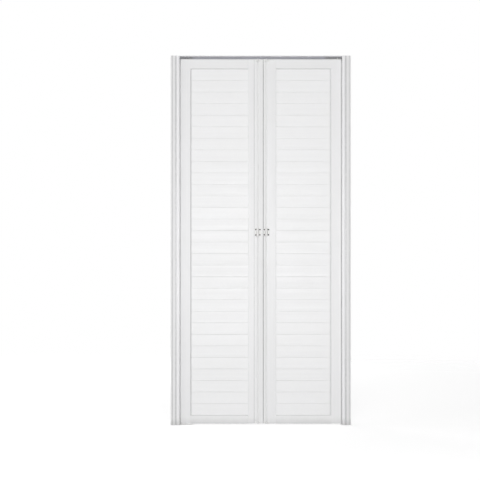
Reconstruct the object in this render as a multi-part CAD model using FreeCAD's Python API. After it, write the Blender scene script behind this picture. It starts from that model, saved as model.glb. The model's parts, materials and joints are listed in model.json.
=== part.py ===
import FreeCAD, Part
import math
import os

# Bifold closet door in its frame: millimetres, +Z up, origin on the floor in the middle of the opening.
# +X is to the right seen from the hinge face, which looks along -Y. The leaves fold towards +Y.

# Opening and jambs
frame_width = 990.0         # wall to wall
frame_height = 2030.0       # floor to header
jamb_width = 48.0           # seen from the front
jamb_depth = 70.0           # without the beads
channel_web = 3.0           # wall channel, against the wall
channel_flange = 2.5
channel_reach = 24.0        # how far the flanges stand off the wall
drip_line = 8.0             # fine groove along each flange, from the wall
drip_width = 2.4
drip_depth = 1.4
cover_web = 2.5             # snap cover, facing the door
cover_leg = 2.0
cover_leg_length = 12.8     # leg behind the channel's flange
bead_rise = 2.2             # round bead on the cover's front and back
bead_width = 11.6
bead_inset = 3.6            # flat between the bead and the door
fin_thickness = 1.5         # soft fin behind each leaf's outer edge
fin_reach = 9.0
seal_head = 3.0             # thick root of fins and lip seals, inside the profile that holds them
seal_head_length = 1.2
groove_wall = 1.2           # round the undercut groove of a fin, and across the narrow hinge strip
wall_screw_count = 4
wall_screw_radius = 2.5
wall_screw_margin = 115.0   # first and last screw, from the ends

# Head strip and track
head_thickness = 4.0
track_width = 24.0
track_height = 12.0
track_wall = 1.5
track_end_gap = 0.5
track_lip_gap = 1.7         # running gap over the leaves
head_screw_count = 4
head_screw_radius = 1.9
head_screw_margin = 102.0   # first and last screw, from the ends of the track
window_width = 14.0         # notch in the front flange, where the pin is reached
window_height = 8.0

# Leaves
side_gap = 5.0              # jamb to leaf
floor_gap = 6.0
seam_offset = 13.5          # seam between the two hinge strips, from the middle
leaf_thickness = 22.0
outer_stile_width = 58.0
inner_stile_width = 50.0
profile_wall = 2.0
arris = 1.0                 # small bevel along the edges of stiles and rails
sticking = 4.3              # wide bevel round the slats, on the outer stile and both rails
face_line = 16.8            # fine groove on the pivot leaf's inner stile, from its hinge edge
face_line_width = 1.4
face_line_depth = 0.9
bottom_rail_height = 47.5
top_rail_height = 53.8
slat_count = 30
slat_thickness = 11.0
slat_wall = 1.5
slat_bevel = 1.0            # gives the V joint between slats
slat_joint = 0.2
tongue_thickness = 4.0
tongue_height = 6.0
slat_groove_depth = 10.0    # groove in the stiles
cap_flange = 2.0            # end caps of stiles and strips
plug_depth = 25.0
corner_block_length = 50.0

# Clearances
slip = 0.2                  # parts that slide into each other
fit = 0.05                  # radial, round running fits
play = 0.3                  # end play of hinge knuckles

# Hinges between leaves and strips
hinge_left = 30.0           # left hinge axis, from the seam
hinge_right = 17.0          # right hinge axis, from the seam
hinge_gap = 6.4             # between stile and strip
seam_gap = 2.0
lip_depth = 3.5             # lip seal across the hinge gap, behind the front face
lip_thickness = 1.5
strip_lock_neck = 3.0       # arrow rib of the left strip, snapped into the right one
strip_lock_head = 7.0
strip_lock_length = 6.0
knuckle_radius = 6.0
hinge_pin_radius = 2.0
hinge_plate_thickness = 3.0
hinge_plate_reach = 16.6    # axis to the plate's edge
hinge_plate_corner = 3.0
hinge_height = 42.0
hinge_level = 1060.0        # middle of the riveted hinges
end_knuckle_height = 14.0   # both knuckles of an end hinge
pin_head_radius = 3.4
pin_head_height = 1.2
rivet_offset = 11.5         # axis to rivet
rivet_pitch = 29.2
rivet_radius = 2.0
rivet_head_radius = 3.6
rivet_head_height = 2.0
rivet_tail_radius = 2.4
rivet_tail_height = 2.5

# Pivots and guide
pivot_margin = 3.4          # bushing flange to the outer stile's inner wall
bushing_radius = 6.9
bushing_length = 12.0
bushing_flange_radius = 8.6
bushing_flange = 1.2
pivot_radius = 4.0
pivot_rise = 10.8           # pin above the leaf
pivot_collar_radius = 6.5
pivot_collar = 3.0
pivot_tail = 36.0           # pin below its collar
spring_length = 60.0
spring_wire = 0.7
spring_radius = 5.5         # middle of the wire
spring_turns = 9
spring_floor = 6.0          # plug left under the spring
guide_wheel_radius = 8.5
guide_wheel_round = 1.0     # rounded rims
guide_wheel_lift = 4.0      # leaf top to the underside of the wheel
guide_shoulder_radius = 6.0 # under the wheel
guide_shoulder = 1.3
guide_head_radius = 6.0
guide_head = 1.6
foot_pin_radius = 5.0
foot_pin_reach = 26.0       # pin inside the leaf
foot_pin_lift = 0.5         # pin's end over the floor
foot_collar_across = 13.0   # hexagon, across flats
foot_bushing_length = 20.0
foot_plug_depth = 40.0

# Brackets
bracket_length = 66.0
bracket_thickness = 6.0
tab_sheet = 1.2             # hooks round the track's front flange
tab_window = 16.0           # between the two hooks, at the pin
clamp_screw_offset = 23.0
clamp_screw_radius = 2.5
clamp_head_radius = 4.0
clamp_head_height = 2.4
screw_slot_width = 1.0
screw_slot_depth = 1.2
catch_reach = 68.0          # catch plate, from the guide axis towards the seam
catch_stop_offset = 11.0    # end stop, from the guide axis
foot_plate_reach = 33.0     # floor plate, from the pivot axis into the opening
foot_plate_width = 30.0
foot_plate_thickness = 2.0
foot_tab_thickness = 1.5
foot_tab_width = 22.0
foot_tab_height = 46.0
foot_boss_radius = 9.0
foot_boss_height = 2.0
foot_screw_radius = 2.5
foot_screw_spread = 25.0    # floor screws, on each side of the pivot
tab_screw_low = 18.0        # lower screw of the tab, over the floor
tab_screw_pitch = 18.0
tab_screw_radius = 2.0
tab_screw_length = 12.0
tab_screw_head_radius = 4.0
tab_screw_head_height = 1.2

# Places worked out from the sizes above
wall_x = frame_width / 2
jamb_x = wall_x - jamb_width
leaf_edge = jamb_x - side_gap
half_depth = jamb_depth / 2
half_leaf = leaf_thickness / 2
front = -half_leaf
track_top = frame_height - head_thickness
track_bottom = track_top - track_height
leaf_bottom = floor_gap
leaf_top = track_bottom - track_lip_gap
slats_bottom = leaf_bottom + bottom_rail_height
slats_top = leaf_top - top_rail_height
slat_pitch = (slats_top - slats_bottom) / slat_count
left_axis = seam_offset - hinge_left
right_axis = seam_offset + hinge_right
axis_y = front - knuckle_radius
left_stile_edge = left_axis - hinge_gap / 2
right_stile_edge = right_axis + hinge_gap / 2
stile_hollow = outer_stile_width - slat_groove_depth - profile_wall
pivot_x = -leaf_edge + stile_hollow - bushing_flange_radius - pivot_margin
arm = left_axis - pivot_x           # pivot to left hinge axis, and right hinge axis to guide
guide_x = right_axis + arm
guide_wheel_height = track_height / 3
stile_bottom = leaf_bottom + cap_flange
stile_top = leaf_top - cap_flange
inner_groove = slat_thickness + 2 * slip
fin_y = track_width / 2 + slip
lip_y = front + lip_depth
bushing_bore = bushing_radius + fit
rivet_levels = [hinge_level - rivet_pitch / 2, hinge_level + rivet_pitch / 2]
tab_screw_levels = [tab_screw_low, tab_screw_low + tab_screw_pitch]


def box(x0, x1, y0, y1, z0, z1):
    """Block between two corners."""
    corner = FreeCAD.Vector(min(x0, x1), min(y0, y1), min(z0, z1))
    return Part.makeBox(abs(x1 - x0), abs(y1 - y0), abs(z1 - z0), corner)


def post(radius, x, y, z0, z1):
    """Upright cylinder."""
    return Part.makeCylinder(radius, z1 - z0, FreeCAD.Vector(x, y, z0))


def cross_pin(radius, x, z, y0, y1):
    """Cylinder along Y."""
    return Part.makeCylinder(radius, y1 - y0, FreeCAD.Vector(x, y0, z), FreeCAD.Vector(0, 1, 0))


def side_pin(radius, y, z, x0, x1):
    """Cylinder along X."""
    return Part.makeCylinder(radius, x1 - x0, FreeCAD.Vector(x0, y, z), FreeCAD.Vector(1, 0, 0))


def join(shapes):
    """One solid out of shapes that touch or overlap."""
    whole = shapes[0]
    for shape in shapes[1:]:
        whole = whole.fuse(shape)
    return whole.removeSplitter()


def cut_all(shape, tools):
    """Shape with every tool taken out of it."""
    for tool in tools:
        shape = shape.cut(tool)
    return shape


def upright(points, z0, z1):
    """Prism along Z over an outline of x, y points."""
    corners = [FreeCAD.Vector(x, y, z0) for x, y in points]
    face = Part.Face(Part.makePolygon(corners + corners[:1]))
    return face.extrude(FreeCAD.Vector(0, 0, z1 - z0))


def lengthwise(points, x0, x1):
    """Prism along X over an outline of y, z points."""
    corners = [FreeCAD.Vector(x0, y, z) for y, z in points]
    face = Part.Face(Part.makePolygon(corners + corners[:1]))
    return face.extrude(FreeCAD.Vector(x1 - x0, 0, 0))


def bevelled(u0, u1, v0, v1, bevel):
    """Rectangle outline with its four corners bevelled."""
    return [
        (u0 + bevel, v0), (u1 - bevel, v0), (u1, v0 + bevel), (u1, v1 - bevel),
        (u1 - bevel, v1), (u0 + bevel, v1), (u0, v1 - bevel), (u0, v0 + bevel),
    ]


def flip_x(shape):
    """Mirror image across the middle of the opening."""
    return shape.mirror(FreeCAD.Vector(0, 0, 0), FreeCAD.Vector(1, 0, 0))


def flip_y(shape):
    """Mirror image, front to back."""
    return shape.mirror(FreeCAD.Vector(0, 0, 0), FreeCAD.Vector(0, 1, 0))


def flip_z(shape):
    """Mirror image, top of the leaf to its bottom."""
    middle = FreeCAD.Vector(0, 0, (leaf_bottom + leaf_top) / 2)
    return shape.mirror(middle, FreeCAD.Vector(0, 0, 1))


def spread(count, start, end):
    """Evenly spaced places from start to end."""
    return [start + (end - start) * i / (count - 1) for i in range(count)]


def save(name, *solids):
    """Write one node, of one or several solids."""
    shape = solids[0] if len(solids) == 1 else Part.makeCompound(list(solids))
    shape.exportStep("parts/" + name + ".step")


# Frame

def wall_channel():
    """U channel on the left wall, open towards the door."""
    edge = -wall_x + channel_reach
    web = box(-wall_x, -wall_x + channel_web, -half_depth, half_depth, 0, frame_height)
    flange = box(-wall_x, edge, -half_depth, -half_depth + channel_flange, 0, frame_height)
    line = -wall_x + drip_line
    groove = box(line, line + drip_width, -half_depth, -half_depth + drip_depth, 0, frame_height)
    flange = flange.cut(groove)
    levels = spread(wall_screw_count, wall_screw_margin, frame_height - wall_screw_margin)
    holes = [side_pin(wall_screw_radius, 0, z, -wall_x, -wall_x + channel_web) for z in levels]
    return cut_all(join([web, flange, flip_y(flange)]), holes)


def beaded_side(z0, z1):
    """Front of the left snap cover: a round bead, a sunk land beside it, and the leg into the channel."""
    end = -jamb_x
    bead_end = end - bead_inset
    bead_start = bead_end - bead_width
    leg_end = -wall_x + channel_reach - cover_leg_length
    leg_outside = -half_depth + channel_flange + slip
    leg_inside = leg_outside + cover_leg
    low_point = FreeCAD.Vector(bead_start, -half_depth, z0)
    top_point = FreeCAD.Vector((bead_start + bead_end) / 2, -half_depth - bead_rise, z0)
    high_point = FreeCAD.Vector(bead_end, -half_depth, z0)
    rest = [
        (bead_end, -half_depth), (end, -half_depth), (end, leg_inside), (leg_end, leg_inside),
        (leg_end, leg_outside), (bead_start, leg_outside), (bead_start, -half_depth),
    ]
    straight = Part.makePolygon([FreeCAD.Vector(x, y, z0) for x, y in rest])
    bead = Part.Arc(low_point, top_point, high_point).toShape()
    face = Part.Face(Part.Wire([bead] + straight.Edges))
    return face.extrude(FreeCAD.Vector(0, 0, z1 - z0))


def jamb_cover():
    """Snap cover of the left wall channel, facing the door, with an undercut groove for its fin."""
    side = beaded_side(0, frame_height)
    web = box(-jamb_x - cover_web, -jamb_x, -half_depth, half_depth, 0, frame_height)
    slot_end = fin_y + fin_thickness + slip
    slot = box(-jamb_x - cover_web, -jamb_x, fin_y - slip, slot_end, 0, frame_height)
    low = fin_y + (fin_thickness - seal_head) / 2 - slip
    high = low + seal_head + 2 * slip
    floor = -jamb_x - cover_web - seal_head_length - 2 * slip
    undercut = box(floor, -jamb_x - cover_web, low, high, 0, frame_height)
    housing = box(floor - groove_wall, -jamb_x, low - groove_wall, high + groove_wall, 0, frame_height)
    return cut_all(join([web, side, flip_y(side), housing]), [slot, undercut])


def soft_strip(edge, side, reach, wall, y, thickness, z0, z1):
    """Soft strip held by its thick root behind a slotted wall; it stands off the edge towards side."""
    root = edge - side * (wall + slip)
    blade = box(edge + side * reach, root, y, y + thickness, z0, z1)
    low = y + (thickness - seal_head) / 2
    head = box(root, root - side * seal_head_length, low, low + seal_head, z0, z1)
    return join([blade, head])


def stop_fin(z0):
    """Soft fin on the left jamb that closes the gap behind the leaf."""
    return soft_strip(-jamb_x, 1, fin_reach, cover_web, fin_y, fin_thickness, z0, track_top)


def head_places():
    """Header screws, along the track."""
    end = jamb_x - track_end_gap - head_screw_margin
    return spread(head_screw_count, -end, end)


def head_strip():
    """White strip across the head, between the jambs."""
    strip = box(-jamb_x + slip, jamb_x - slip, -half_depth, half_depth, track_top, frame_height)
    holes = [post(head_screw_radius, x, 0, track_top, frame_height) for x in head_places()]
    return cut_all(strip, holes)


def track():
    """U track under the head strip, with a notch at each pin in its front flange."""
    end = jamb_x - track_end_gap
    half = track_width / 2
    outer = box(-end, end, -half, half, track_bottom, track_top)
    inside = box(-end, end, -half + track_wall, half - track_wall, track_bottom, track_top - track_wall)
    holes = [post(head_screw_radius, x, 0, track_bottom, track_top) for x in head_places()]
    for x in (pivot_x, guide_x):
        left = x - window_width / 2
        sill = track_bottom + window_height
        holes.append(box(left, left + window_width, -half, -half + track_wall, track_bottom, sill))
    return cut_all(outer.cut(inside), holes)


def hook(x0, x1):
    """Sheet hook from inside the track, under its front flange and up its face."""
    flange_out = -track_width / 2
    flange_in = flange_out + track_wall
    low = track_bottom - slip - tab_sheet
    inner = box(x0, x1, flange_in + slip, flange_in + slip + tab_sheet, low, track_top - track_wall - slip)
    under = box(x0, x1, flange_out - slip - tab_sheet, flange_in + slip + tab_sheet, low, low + tab_sheet)
    outer = box(x0, x1, flange_out - slip - tab_sheet, flange_out - slip, low, track_top - 2 * tab_sheet)
    return [inner, under, outer]


def top_pivot_bracket():
    """Block in the track that holds the top pivot, hooked round the front flange."""
    half = track_width / 2 - track_wall - slip
    top = track_top - track_wall - slip
    start = pivot_x - bracket_length / 2
    end = pivot_x + bracket_length / 2
    body = box(start, end, -half, half, top - bracket_thickness, top)
    hooks = hook(start, pivot_x - tab_window / 2) + hook(pivot_x + tab_window / 2, end)
    pin_hole = post(pivot_radius + fit, pivot_x, 0, top - bracket_thickness, top)
    screw_x = pivot_x + clamp_screw_offset
    screw_hole = post(clamp_screw_radius + fit, screw_x, 0, top - bracket_thickness, top)
    return cut_all(join([body] + hooks), [pin_hole, screw_hole])


def top_bracket_screw():
    """Screw that clamps the bracket against the track's web."""
    top = track_top - track_wall - slip
    x = pivot_x + clamp_screw_offset
    seat = top - bracket_thickness
    shank = post(clamp_screw_radius, x, 0, seat, top)
    head = post(clamp_head_radius, x, 0, seat - clamp_head_height, seat)
    low = seat - clamp_head_height
    half_slot = screw_slot_width / 2
    left = x - clamp_head_radius
    right = x + clamp_head_radius
    slot = box(left, right, -half_slot, half_slot, low, low + screw_slot_depth)
    return join([shank, head]).cut(slot)


def guide_catch():
    """Clip at the closing end of the track: a stop block, a thin plate and two front hooks."""
    half = track_width / 2 - track_wall - slip
    top = track_top - track_wall - slip
    end = jamb_x - track_end_gap
    plate = box(guide_x - catch_reach, end, -half, half, top - tab_sheet, top)
    stop = box(guide_x + catch_stop_offset, end, -half, half, top - bracket_thickness, top)
    hooks = hook(guide_x - catch_reach, guide_x - tab_window / 2) + hook(guide_x + tab_window / 2, end)
    return join([plate, stop] + hooks)


def tab_screw_holes():
    """Holes through the floor bracket's tab and the jamb cover behind it."""
    start = -jamb_x - cover_web
    end = -jamb_x + foot_tab_thickness
    return [side_pin(tab_screw_radius + fit, 0, z, start, end) for z in tab_screw_levels]


def tab_screws():
    """Screws that hold the floor bracket's tab on the jamb."""
    seat = -jamb_x + foot_tab_thickness
    screws = []
    for z in tab_screw_levels:
        shank = side_pin(tab_screw_radius, 0, z, seat - tab_screw_length, seat)
        head = side_pin(tab_screw_head_radius, 0, z, seat, seat + tab_screw_head_height)
        screws.append(join([shank, head]))
    return screws


def bottom_pivot_bracket():
    """Floor bracket with a tab up the jamb and a boss for the pivot pin."""
    half = foot_plate_width / 2
    jamb_face = -jamb_x
    plate = box(jamb_face, pivot_x + foot_plate_reach, -half, half, 0, foot_plate_thickness)
    tab_half = foot_tab_width / 2
    tab = box(jamb_face, jamb_face + foot_tab_thickness, -tab_half, tab_half, 0, foot_tab_height)
    boss_top = foot_plate_thickness + foot_boss_height
    boss = post(foot_boss_radius, pivot_x, 0, 0, boss_top)
    holes = [post(foot_pin_radius + fit, pivot_x, 0, 0, boss_top)]
    for x in (pivot_x - foot_screw_spread, pivot_x + foot_screw_spread):
        holes.append(post(foot_screw_radius, x, 0, 0, foot_plate_thickness))
    return cut_all(join([plate, tab, boss]), holes + tab_screw_holes())


def bottom_pivot_pin():
    """Pin that stands in the floor bracket, with a hexagon collar under the leaf."""
    boss_top = foot_plate_thickness + foot_boss_height
    shank = post(foot_pin_radius, pivot_x, 0, foot_pin_lift, leaf_bottom + foot_pin_reach)
    corner = foot_collar_across / 2 / math.cos(math.pi / 6)
    turns = [math.pi / 3 * i for i in range(6)]
    hexagon = [(pivot_x + corner * math.cos(turn), corner * math.sin(turn)) for turn in turns]
    collar = upright(hexagon, boss_top, leaf_bottom - slip)
    return join([shank, collar])


# Leaf frame, slats and end caps

def stile_outline(edge, side, width, bevel):
    """Outline of a stile with a bevel towards the slats: side is +1 where they lie at larger x."""
    near = edge + side * arris
    far = edge + side * width
    return [
        (near, front), (far - side * bevel, front), (far, front + bevel), (far, half_leaf - bevel),
        (far - side * bevel, half_leaf), (near, half_leaf), (edge, half_leaf - arris),
        (edge, front + arris),
    ]


def stile_void(edge, side, width, shrink=0.0):
    """Hollow of a stile, between its walls and the slat groove, as x0, x1, y0, y1."""
    near = edge + side * (profile_wall + shrink)
    far = edge + side * (width - slat_groove_depth - profile_wall - shrink)
    depth = half_leaf - profile_wall - shrink
    return near, far, -depth, depth


def stile(edge, side, width, bevel):
    """Hollow stile with a groove for the slats along one edge."""
    body = upright(stile_outline(edge, side, width, bevel), stile_bottom, stile_top)
    void = box(*stile_void(edge, side, width), stile_bottom, stile_top)
    mouth = edge + side * width
    groove = box(mouth - side * slat_groove_depth, mouth, -inner_groove / 2, inner_groove / 2,
                 stile_bottom, stile_top)
    return cut_all(body, [void, groove])


def outer_stile(side):
    """Stile beside a jamb: side is +1 on the pivot leaf, -1 on the lead leaf."""
    return stile(-side * leaf_edge, side, outer_stile_width, sticking)


def inner_stile(edge, side):
    """Stile beside a hinge strip, with its rivet holes."""
    axis = left_axis if side < 0 else right_axis
    holes = [cross_pin(rivet_radius + fit, axis + side * rivet_offset, z, front, front + profile_wall)
             for z in rivet_levels]
    return cut_all(stile(edge, side, inner_stile_width, arris), holes)


def face_groove():
    """Fine groove down the front of the pivot leaf's inner stile."""
    line = left_stile_edge - face_line
    return box(line - face_line_width / 2, line + face_line_width / 2, front, front + face_line_depth,
               stile_bottom, stile_top)


def rail_outline(free, inner):
    """Outline of a rail in y and z, from its free edge to its inner edge beside the slats."""
    side = math.copysign(1, inner - free)
    near = free + side * arris
    far = inner - side * sticking
    return [
        (front + arris, free), (half_leaf - arris, free), (half_leaf, near), (half_leaf, far),
        (half_leaf - sticking, inner), (front + sticking, inner), (front, far), (front, near),
    ]


def bottom_rail(x0, x1):
    """Hollow bottom rail, with the tongue that the first slat stands on."""
    half = tongue_thickness / 2
    inside = half_leaf - profile_wall
    tongue = box(x0, x1, -half, half, slats_bottom, slats_bottom + tongue_height)
    body = lengthwise(rail_outline(leaf_bottom, slats_bottom), x0, x1)
    void = box(x0, x1, -inside, inside, leaf_bottom + 2 * profile_wall, slats_bottom - 2 * profile_wall)
    return join([body, tongue]).cut(void)


def top_rail(x0, x1):
    """Hollow top rail, with a groove over the last slat's tongue."""
    half = tongue_thickness / 2 + slip
    depth = tongue_height + 2 * slip
    roof = slats_top + depth + profile_wall
    inside = half_leaf - profile_wall
    body = lengthwise(rail_outline(leaf_top, slats_top), x0, x1)
    void = box(x0, x1, -inside, inside, roof, leaf_top - 2 * profile_wall)
    groove = box(x0, x1, -half, half, slats_top, slats_top + depth)
    return cut_all(body, [void, groove])


def coped_rail(make_rail, side, outer, inner):
    """Rail between two stiles, its outer end cut to the bevel of the outer stile."""
    start = outer - side * sticking
    outline = stile_outline(-side * leaf_edge, side, outer_stile_width, sticking)
    block = upright(outline, leaf_bottom, leaf_top)
    return make_rail(min(start, inner), max(start, inner)).cut(block)


def corner_blocks(x0, x1):
    """Blocks in the rail ends that reach into the stile grooves."""
    depth = half_leaf - profile_wall - slip
    tongue = inner_groove / 2 - slip
    reach = slat_groove_depth - slip
    levels = [(leaf_bottom + 2 * profile_wall + slip, slats_bottom - 2 * profile_wall - slip),
              (slats_top + tongue_height + 3 * slip + profile_wall, leaf_top - 2 * profile_wall - slip)]
    blocks = []
    for low, high in levels:
        for end, way in ((x0, 1), (x1, -1)):
            inside = box(end, end + way * corner_block_length, -depth, depth, low, high)
            outside = box(end - way * reach, end, -tongue, tongue, low, high)
            blocks.append(join([inside, outside]))
    return blocks


def slat(level, x0, x1):
    """One hollow tongued and grooved slat, standing on the level given."""
    half = slat_thickness / 2
    low = level + slat_joint
    high = level + slat_pitch
    tongue = tongue_thickness / 2
    groove = tongue + slip
    groove_roof = level + tongue_height + 2 * slip
    tongue_top = high + tongue_height
    outline = [
        (-half + slat_bevel, low), (-groove, low), (-groove, groove_roof), (groove, groove_roof),
        (groove, low), (half - slat_bevel, low), (half, low + slat_bevel), (half, high - slat_bevel),
        (half - slat_bevel, high), (tongue, high), (tongue, tongue_top), (-tongue, tongue_top),
        (-tongue, high), (-half + slat_bevel, high), (-half, high - slat_bevel), (-half, low + slat_bevel),
    ]
    depth = half - slat_wall
    floor = groove_roof + slat_wall
    roof = high - slat_wall
    cell = (roof - floor - slat_wall) / 2
    lower = box(x0, x1, -depth, depth, floor, floor + cell)
    upper = box(x0, x1, -depth, depth, roof - cell, roof)
    return cut_all(lengthwise(outline, x0, x1), [lower, upper])


def slats(x0, x1):
    """All the slats of a leaf, bottom to top, with their ends in the stile grooves."""
    reach = slat_groove_depth - 2 * slip
    return [slat(slats_bottom + i * slat_pitch, x0 - reach, x1 + reach) for i in range(slat_count)]


def outer_plug(side, bore_x, bore, depth, bore_depth):
    """Top end plug of an outer stile, bored for a bushing where bore is a radius."""
    edge = -side * leaf_edge
    flange = upright(stile_outline(edge, side, outer_stile_width, sticking), stile_top, leaf_top)
    void = stile_void(edge, side, outer_stile_width, slip)
    insert = box(*void, stile_top - depth, stile_top)
    plug = join([flange, insert])
    if bore:
        hole = post(bore, bore_x, 0, stile_top - bore_depth, leaf_top)
        seat = post(bushing_flange_radius + fit, bore_x, 0, leaf_top - bushing_flange, leaf_top)
        plug = cut_all(plug, [hole, seat])
    return plug


def bushing(x, inner, length):
    """Flanged bushing, flush with the top of the leaf."""
    sleeve = post(bushing_radius, x, 0, leaf_top - length, leaf_top)
    flange = post(bushing_flange_radius, x, 0, leaf_top - bushing_flange, leaf_top)
    return join([sleeve, flange]).cut(post(inner + fit, x, 0, leaf_top - length, leaf_top))


def spring_well():
    """Depth of the bore under the flange of a top plug."""
    return bushing_length - cap_flange + slip + pivot_collar + spring_length


def pin_collar(x):
    """Collar of a sprung pin, under its bushing."""
    top = leaf_top - bushing_length - slip
    return post(pivot_collar_radius, x, 0, top - pivot_collar, top)


def top_pivot_pin():
    """Sprung pin from the pivot leaf up into the bracket."""
    low = leaf_top - bushing_length - slip - pivot_collar - pivot_tail
    return join([post(pivot_radius, pivot_x, 0, low, leaf_top + pivot_rise), pin_collar(pivot_x)])


def guide_pin():
    """Sprung pin that carries the guide wheel between a shoulder and a head."""
    low = leaf_top - bushing_length - slip - pivot_collar - pivot_tail
    wheel_low = leaf_top + guide_wheel_lift
    wheel_high = wheel_low + guide_wheel_height
    head_low = wheel_high + slip
    shaft = post(pivot_radius, guide_x, 0, low, head_low + guide_head)
    shoulder = post(guide_shoulder_radius, guide_x, 0, wheel_low - slip - guide_shoulder, wheel_low - slip)
    head = post(guide_head_radius, guide_x, 0, head_low, head_low + guide_head)
    return join([shaft, pin_collar(guide_x), shoulder, head])


def guide_wheel():
    """Nylon wheel with rounded rims, running in the track."""
    low = leaf_top + guide_wheel_lift
    wheel = post(guide_wheel_radius, guide_x, 0, low, low + guide_wheel_height)
    rims = [edge for edge in wheel.Edges if edge.Length > guide_wheel_radius * math.pi]
    wheel = wheel.makeFillet(guide_wheel_round, rims)
    return wheel.cut(post(pivot_radius + fit, guide_x, 0, low, low + guide_wheel_height))


def spring(x):
    """Coil spring under the collar of a sprung pin, of half rings that each climb half a turn."""
    top = leaf_top - bushing_length - slip - pivot_collar - slip
    length = spring_length - 2 * slip
    low = top - length + spring_wire
    rise = (length - 2 * spring_wire) / spring_turns / 2
    side = spring_radius
    level = low
    halves = []
    for half_turn in range(2 * spring_turns):
        middle = FreeCAD.Vector(x, math.copysign(math.hypot(side, rise / 2), side), level + rise / 2)
        start = FreeCAD.Vector(x + side, 0, level)
        end = FreeCAD.Vector(x - side, 0, level + rise)
        halves.append(Part.Arc(start, middle, end).toShape())
        side = -side
        level += rise
    ring = Part.makeCircle(spring_wire, halves[0].Vertexes[0].Point, FreeCAD.Vector(0, 1, 0))
    return Part.Wire(halves).makePipeShell([Part.Wire([ring])], True, True)


# Hinge strips and hinges

def strip_blank(x0, x1, z0, z1):
    """Hollow strip with bevelled edges."""
    depth = half_leaf - profile_wall
    body = upright(bevelled(x0, x1, front, half_leaf, arris), z0, z1)
    return body.cut(box(x0 + profile_wall, x1 - profile_wall, -depth, depth, z0, z1))


def lip_slot(edge, side):
    """Slot in a strip's edge for its lip seal, side is +1 where the strip is at larger x."""
    return box(edge, edge + side * profile_wall, lip_y - slip, lip_y + lip_thickness + slip,
               stile_bottom, stile_top)


def lip_seal(axis, side):
    """Soft lip from the hinge strip across the gap to the stile."""
    edge = axis + side * hinge_gap / 2
    reach = hinge_gap - play
    return soft_strip(edge, -side, reach, profile_wall, lip_y, lip_thickness, stile_bottom, stile_top)


def left_hinge_strip():
    """Left strip, with an arrow rib across the seam."""
    start = left_axis + hinge_gap / 2
    edge = seam_offset - seam_gap / 2
    strip = strip_blank(start, edge, stile_bottom, stile_top)
    neck = strip_lock_neck / 2
    head = strip_lock_head / 2
    barb = edge + seam_gap + profile_wall + slip
    tip = barb + strip_lock_length - profile_wall
    arrow = [(edge, -neck), (barb, -neck), (barb, -head), (tip, -neck / 2),
             (tip, neck / 2), (barb, head), (barb, neck), (edge, neck)]
    rib = upright(arrow, stile_bottom, stile_top)
    holes = [cross_pin(rivet_radius + fit, left_axis + rivet_offset, z, front, front + profile_wall)
             for z in rivet_levels]
    return cut_all(join([strip, rib]), [lip_slot(start, 1)] + holes)


def right_hinge_strip():
    """Right strip, slotted for the left strip's arrow rib, with a web between slot and lip seal."""
    start = seam_offset + seam_gap / 2
    end = right_axis - hinge_gap / 2
    arrow_tip = start + slip + strip_lock_length
    seal_root = end - profile_wall - slip - seal_head_length
    web = (arrow_tip + seal_root - groove_wall) / 2
    depth = half_leaf - profile_wall
    inner_web = box(web, web + groove_wall, -depth, depth, stile_bottom, stile_top)
    strip = join([strip_blank(start, end, stile_bottom, stile_top), inner_web])
    mouth = strip_lock_neck / 2 + slip
    slot = box(start, start + profile_wall, -mouth, mouth, stile_bottom, stile_top)
    holes = [cross_pin(rivet_radius + fit, right_axis - rivet_offset, z, front, front + profile_wall)
             for z in rivet_levels]
    return cut_all(strip, [slot, lip_slot(end, -1)] + holes)


def knuckle(axis, side, z0, z1):
    """Round knuckle and the foot of plate under it, side is +1 where the plate is at larger x."""
    barrel = post(knuckle_radius, axis, axis_y, z0, z1)
    foot = box(axis, axis + side * (knuckle_radius + play), front - hinge_plate_thickness, front, z0, z1)
    return [barrel, foot]


def pin_bore(axis):
    """Bore of a hinge axis, over the leaf's height."""
    return post(hinge_pin_radius + fit, axis, axis_y, leaf_bottom, leaf_top)


def leaf_knuckle_cap(axis, side, edge):
    """Top cap of an inner stile, with the lower knuckle of the end hinge."""
    low = leaf_top - end_knuckle_height
    middle = leaf_top - end_knuckle_height / 2
    flange = upright(stile_outline(edge, side, inner_stile_width, arris), stile_top, leaf_top)
    insert = box(*stile_void(edge, side, inner_stile_width, slip), stile_top - plug_depth, stile_top)
    plate_near = axis + side * (knuckle_radius + play)
    plate_far = axis + side * hinge_plate_reach
    apron = box(plate_near, plate_far, front - hinge_plate_thickness, front, low, leaf_top)
    bridge = box(edge + side * arris, plate_far, front - hinge_plate_thickness, front + arris,
                 stile_top, leaf_top)
    bridge = bridge.cut(box(axis, plate_near, axis_y, front + arris, stile_top, leaf_top))
    solid = join([flange, insert, apron, bridge] + knuckle(axis, side, low, middle - play / 2))
    return solid.cut(pin_bore(axis))


def strip_cap():
    """Top cap that holds both strips together, with the upper knuckles of the end hinges."""
    low = leaf_top - end_knuckle_height
    middle = leaf_top - end_knuckle_height / 2
    start = left_axis + hinge_gap / 2
    end = right_axis - hinge_gap / 2
    shapes = [upright(bevelled(start, end, front, half_leaf, arris), stile_top, leaf_top)]
    depth = half_leaf - profile_wall - slip
    near = start + profile_wall + seal_head_length + 2 * slip
    far = seam_offset - seam_gap / 2 - profile_wall - slip
    shapes.append(box(near, far, -depth, depth, stile_top - plug_depth, stile_top))
    plate = front - hinge_plate_thickness
    for axis, side in ((left_axis, 1), (right_axis, -1)):
        near = axis + side * (knuckle_radius + play)
        far = axis + side * hinge_plate_reach
        shapes.append(box(near, far, plate, front, low, leaf_top))
        shapes.append(box(near, far, plate, front + arris, stile_top, leaf_top))
        shapes.extend(knuckle(axis, side, middle + play / 2, leaf_top))
    return cut_all(join(shapes), [pin_bore(left_axis), pin_bore(right_axis)])


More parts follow.
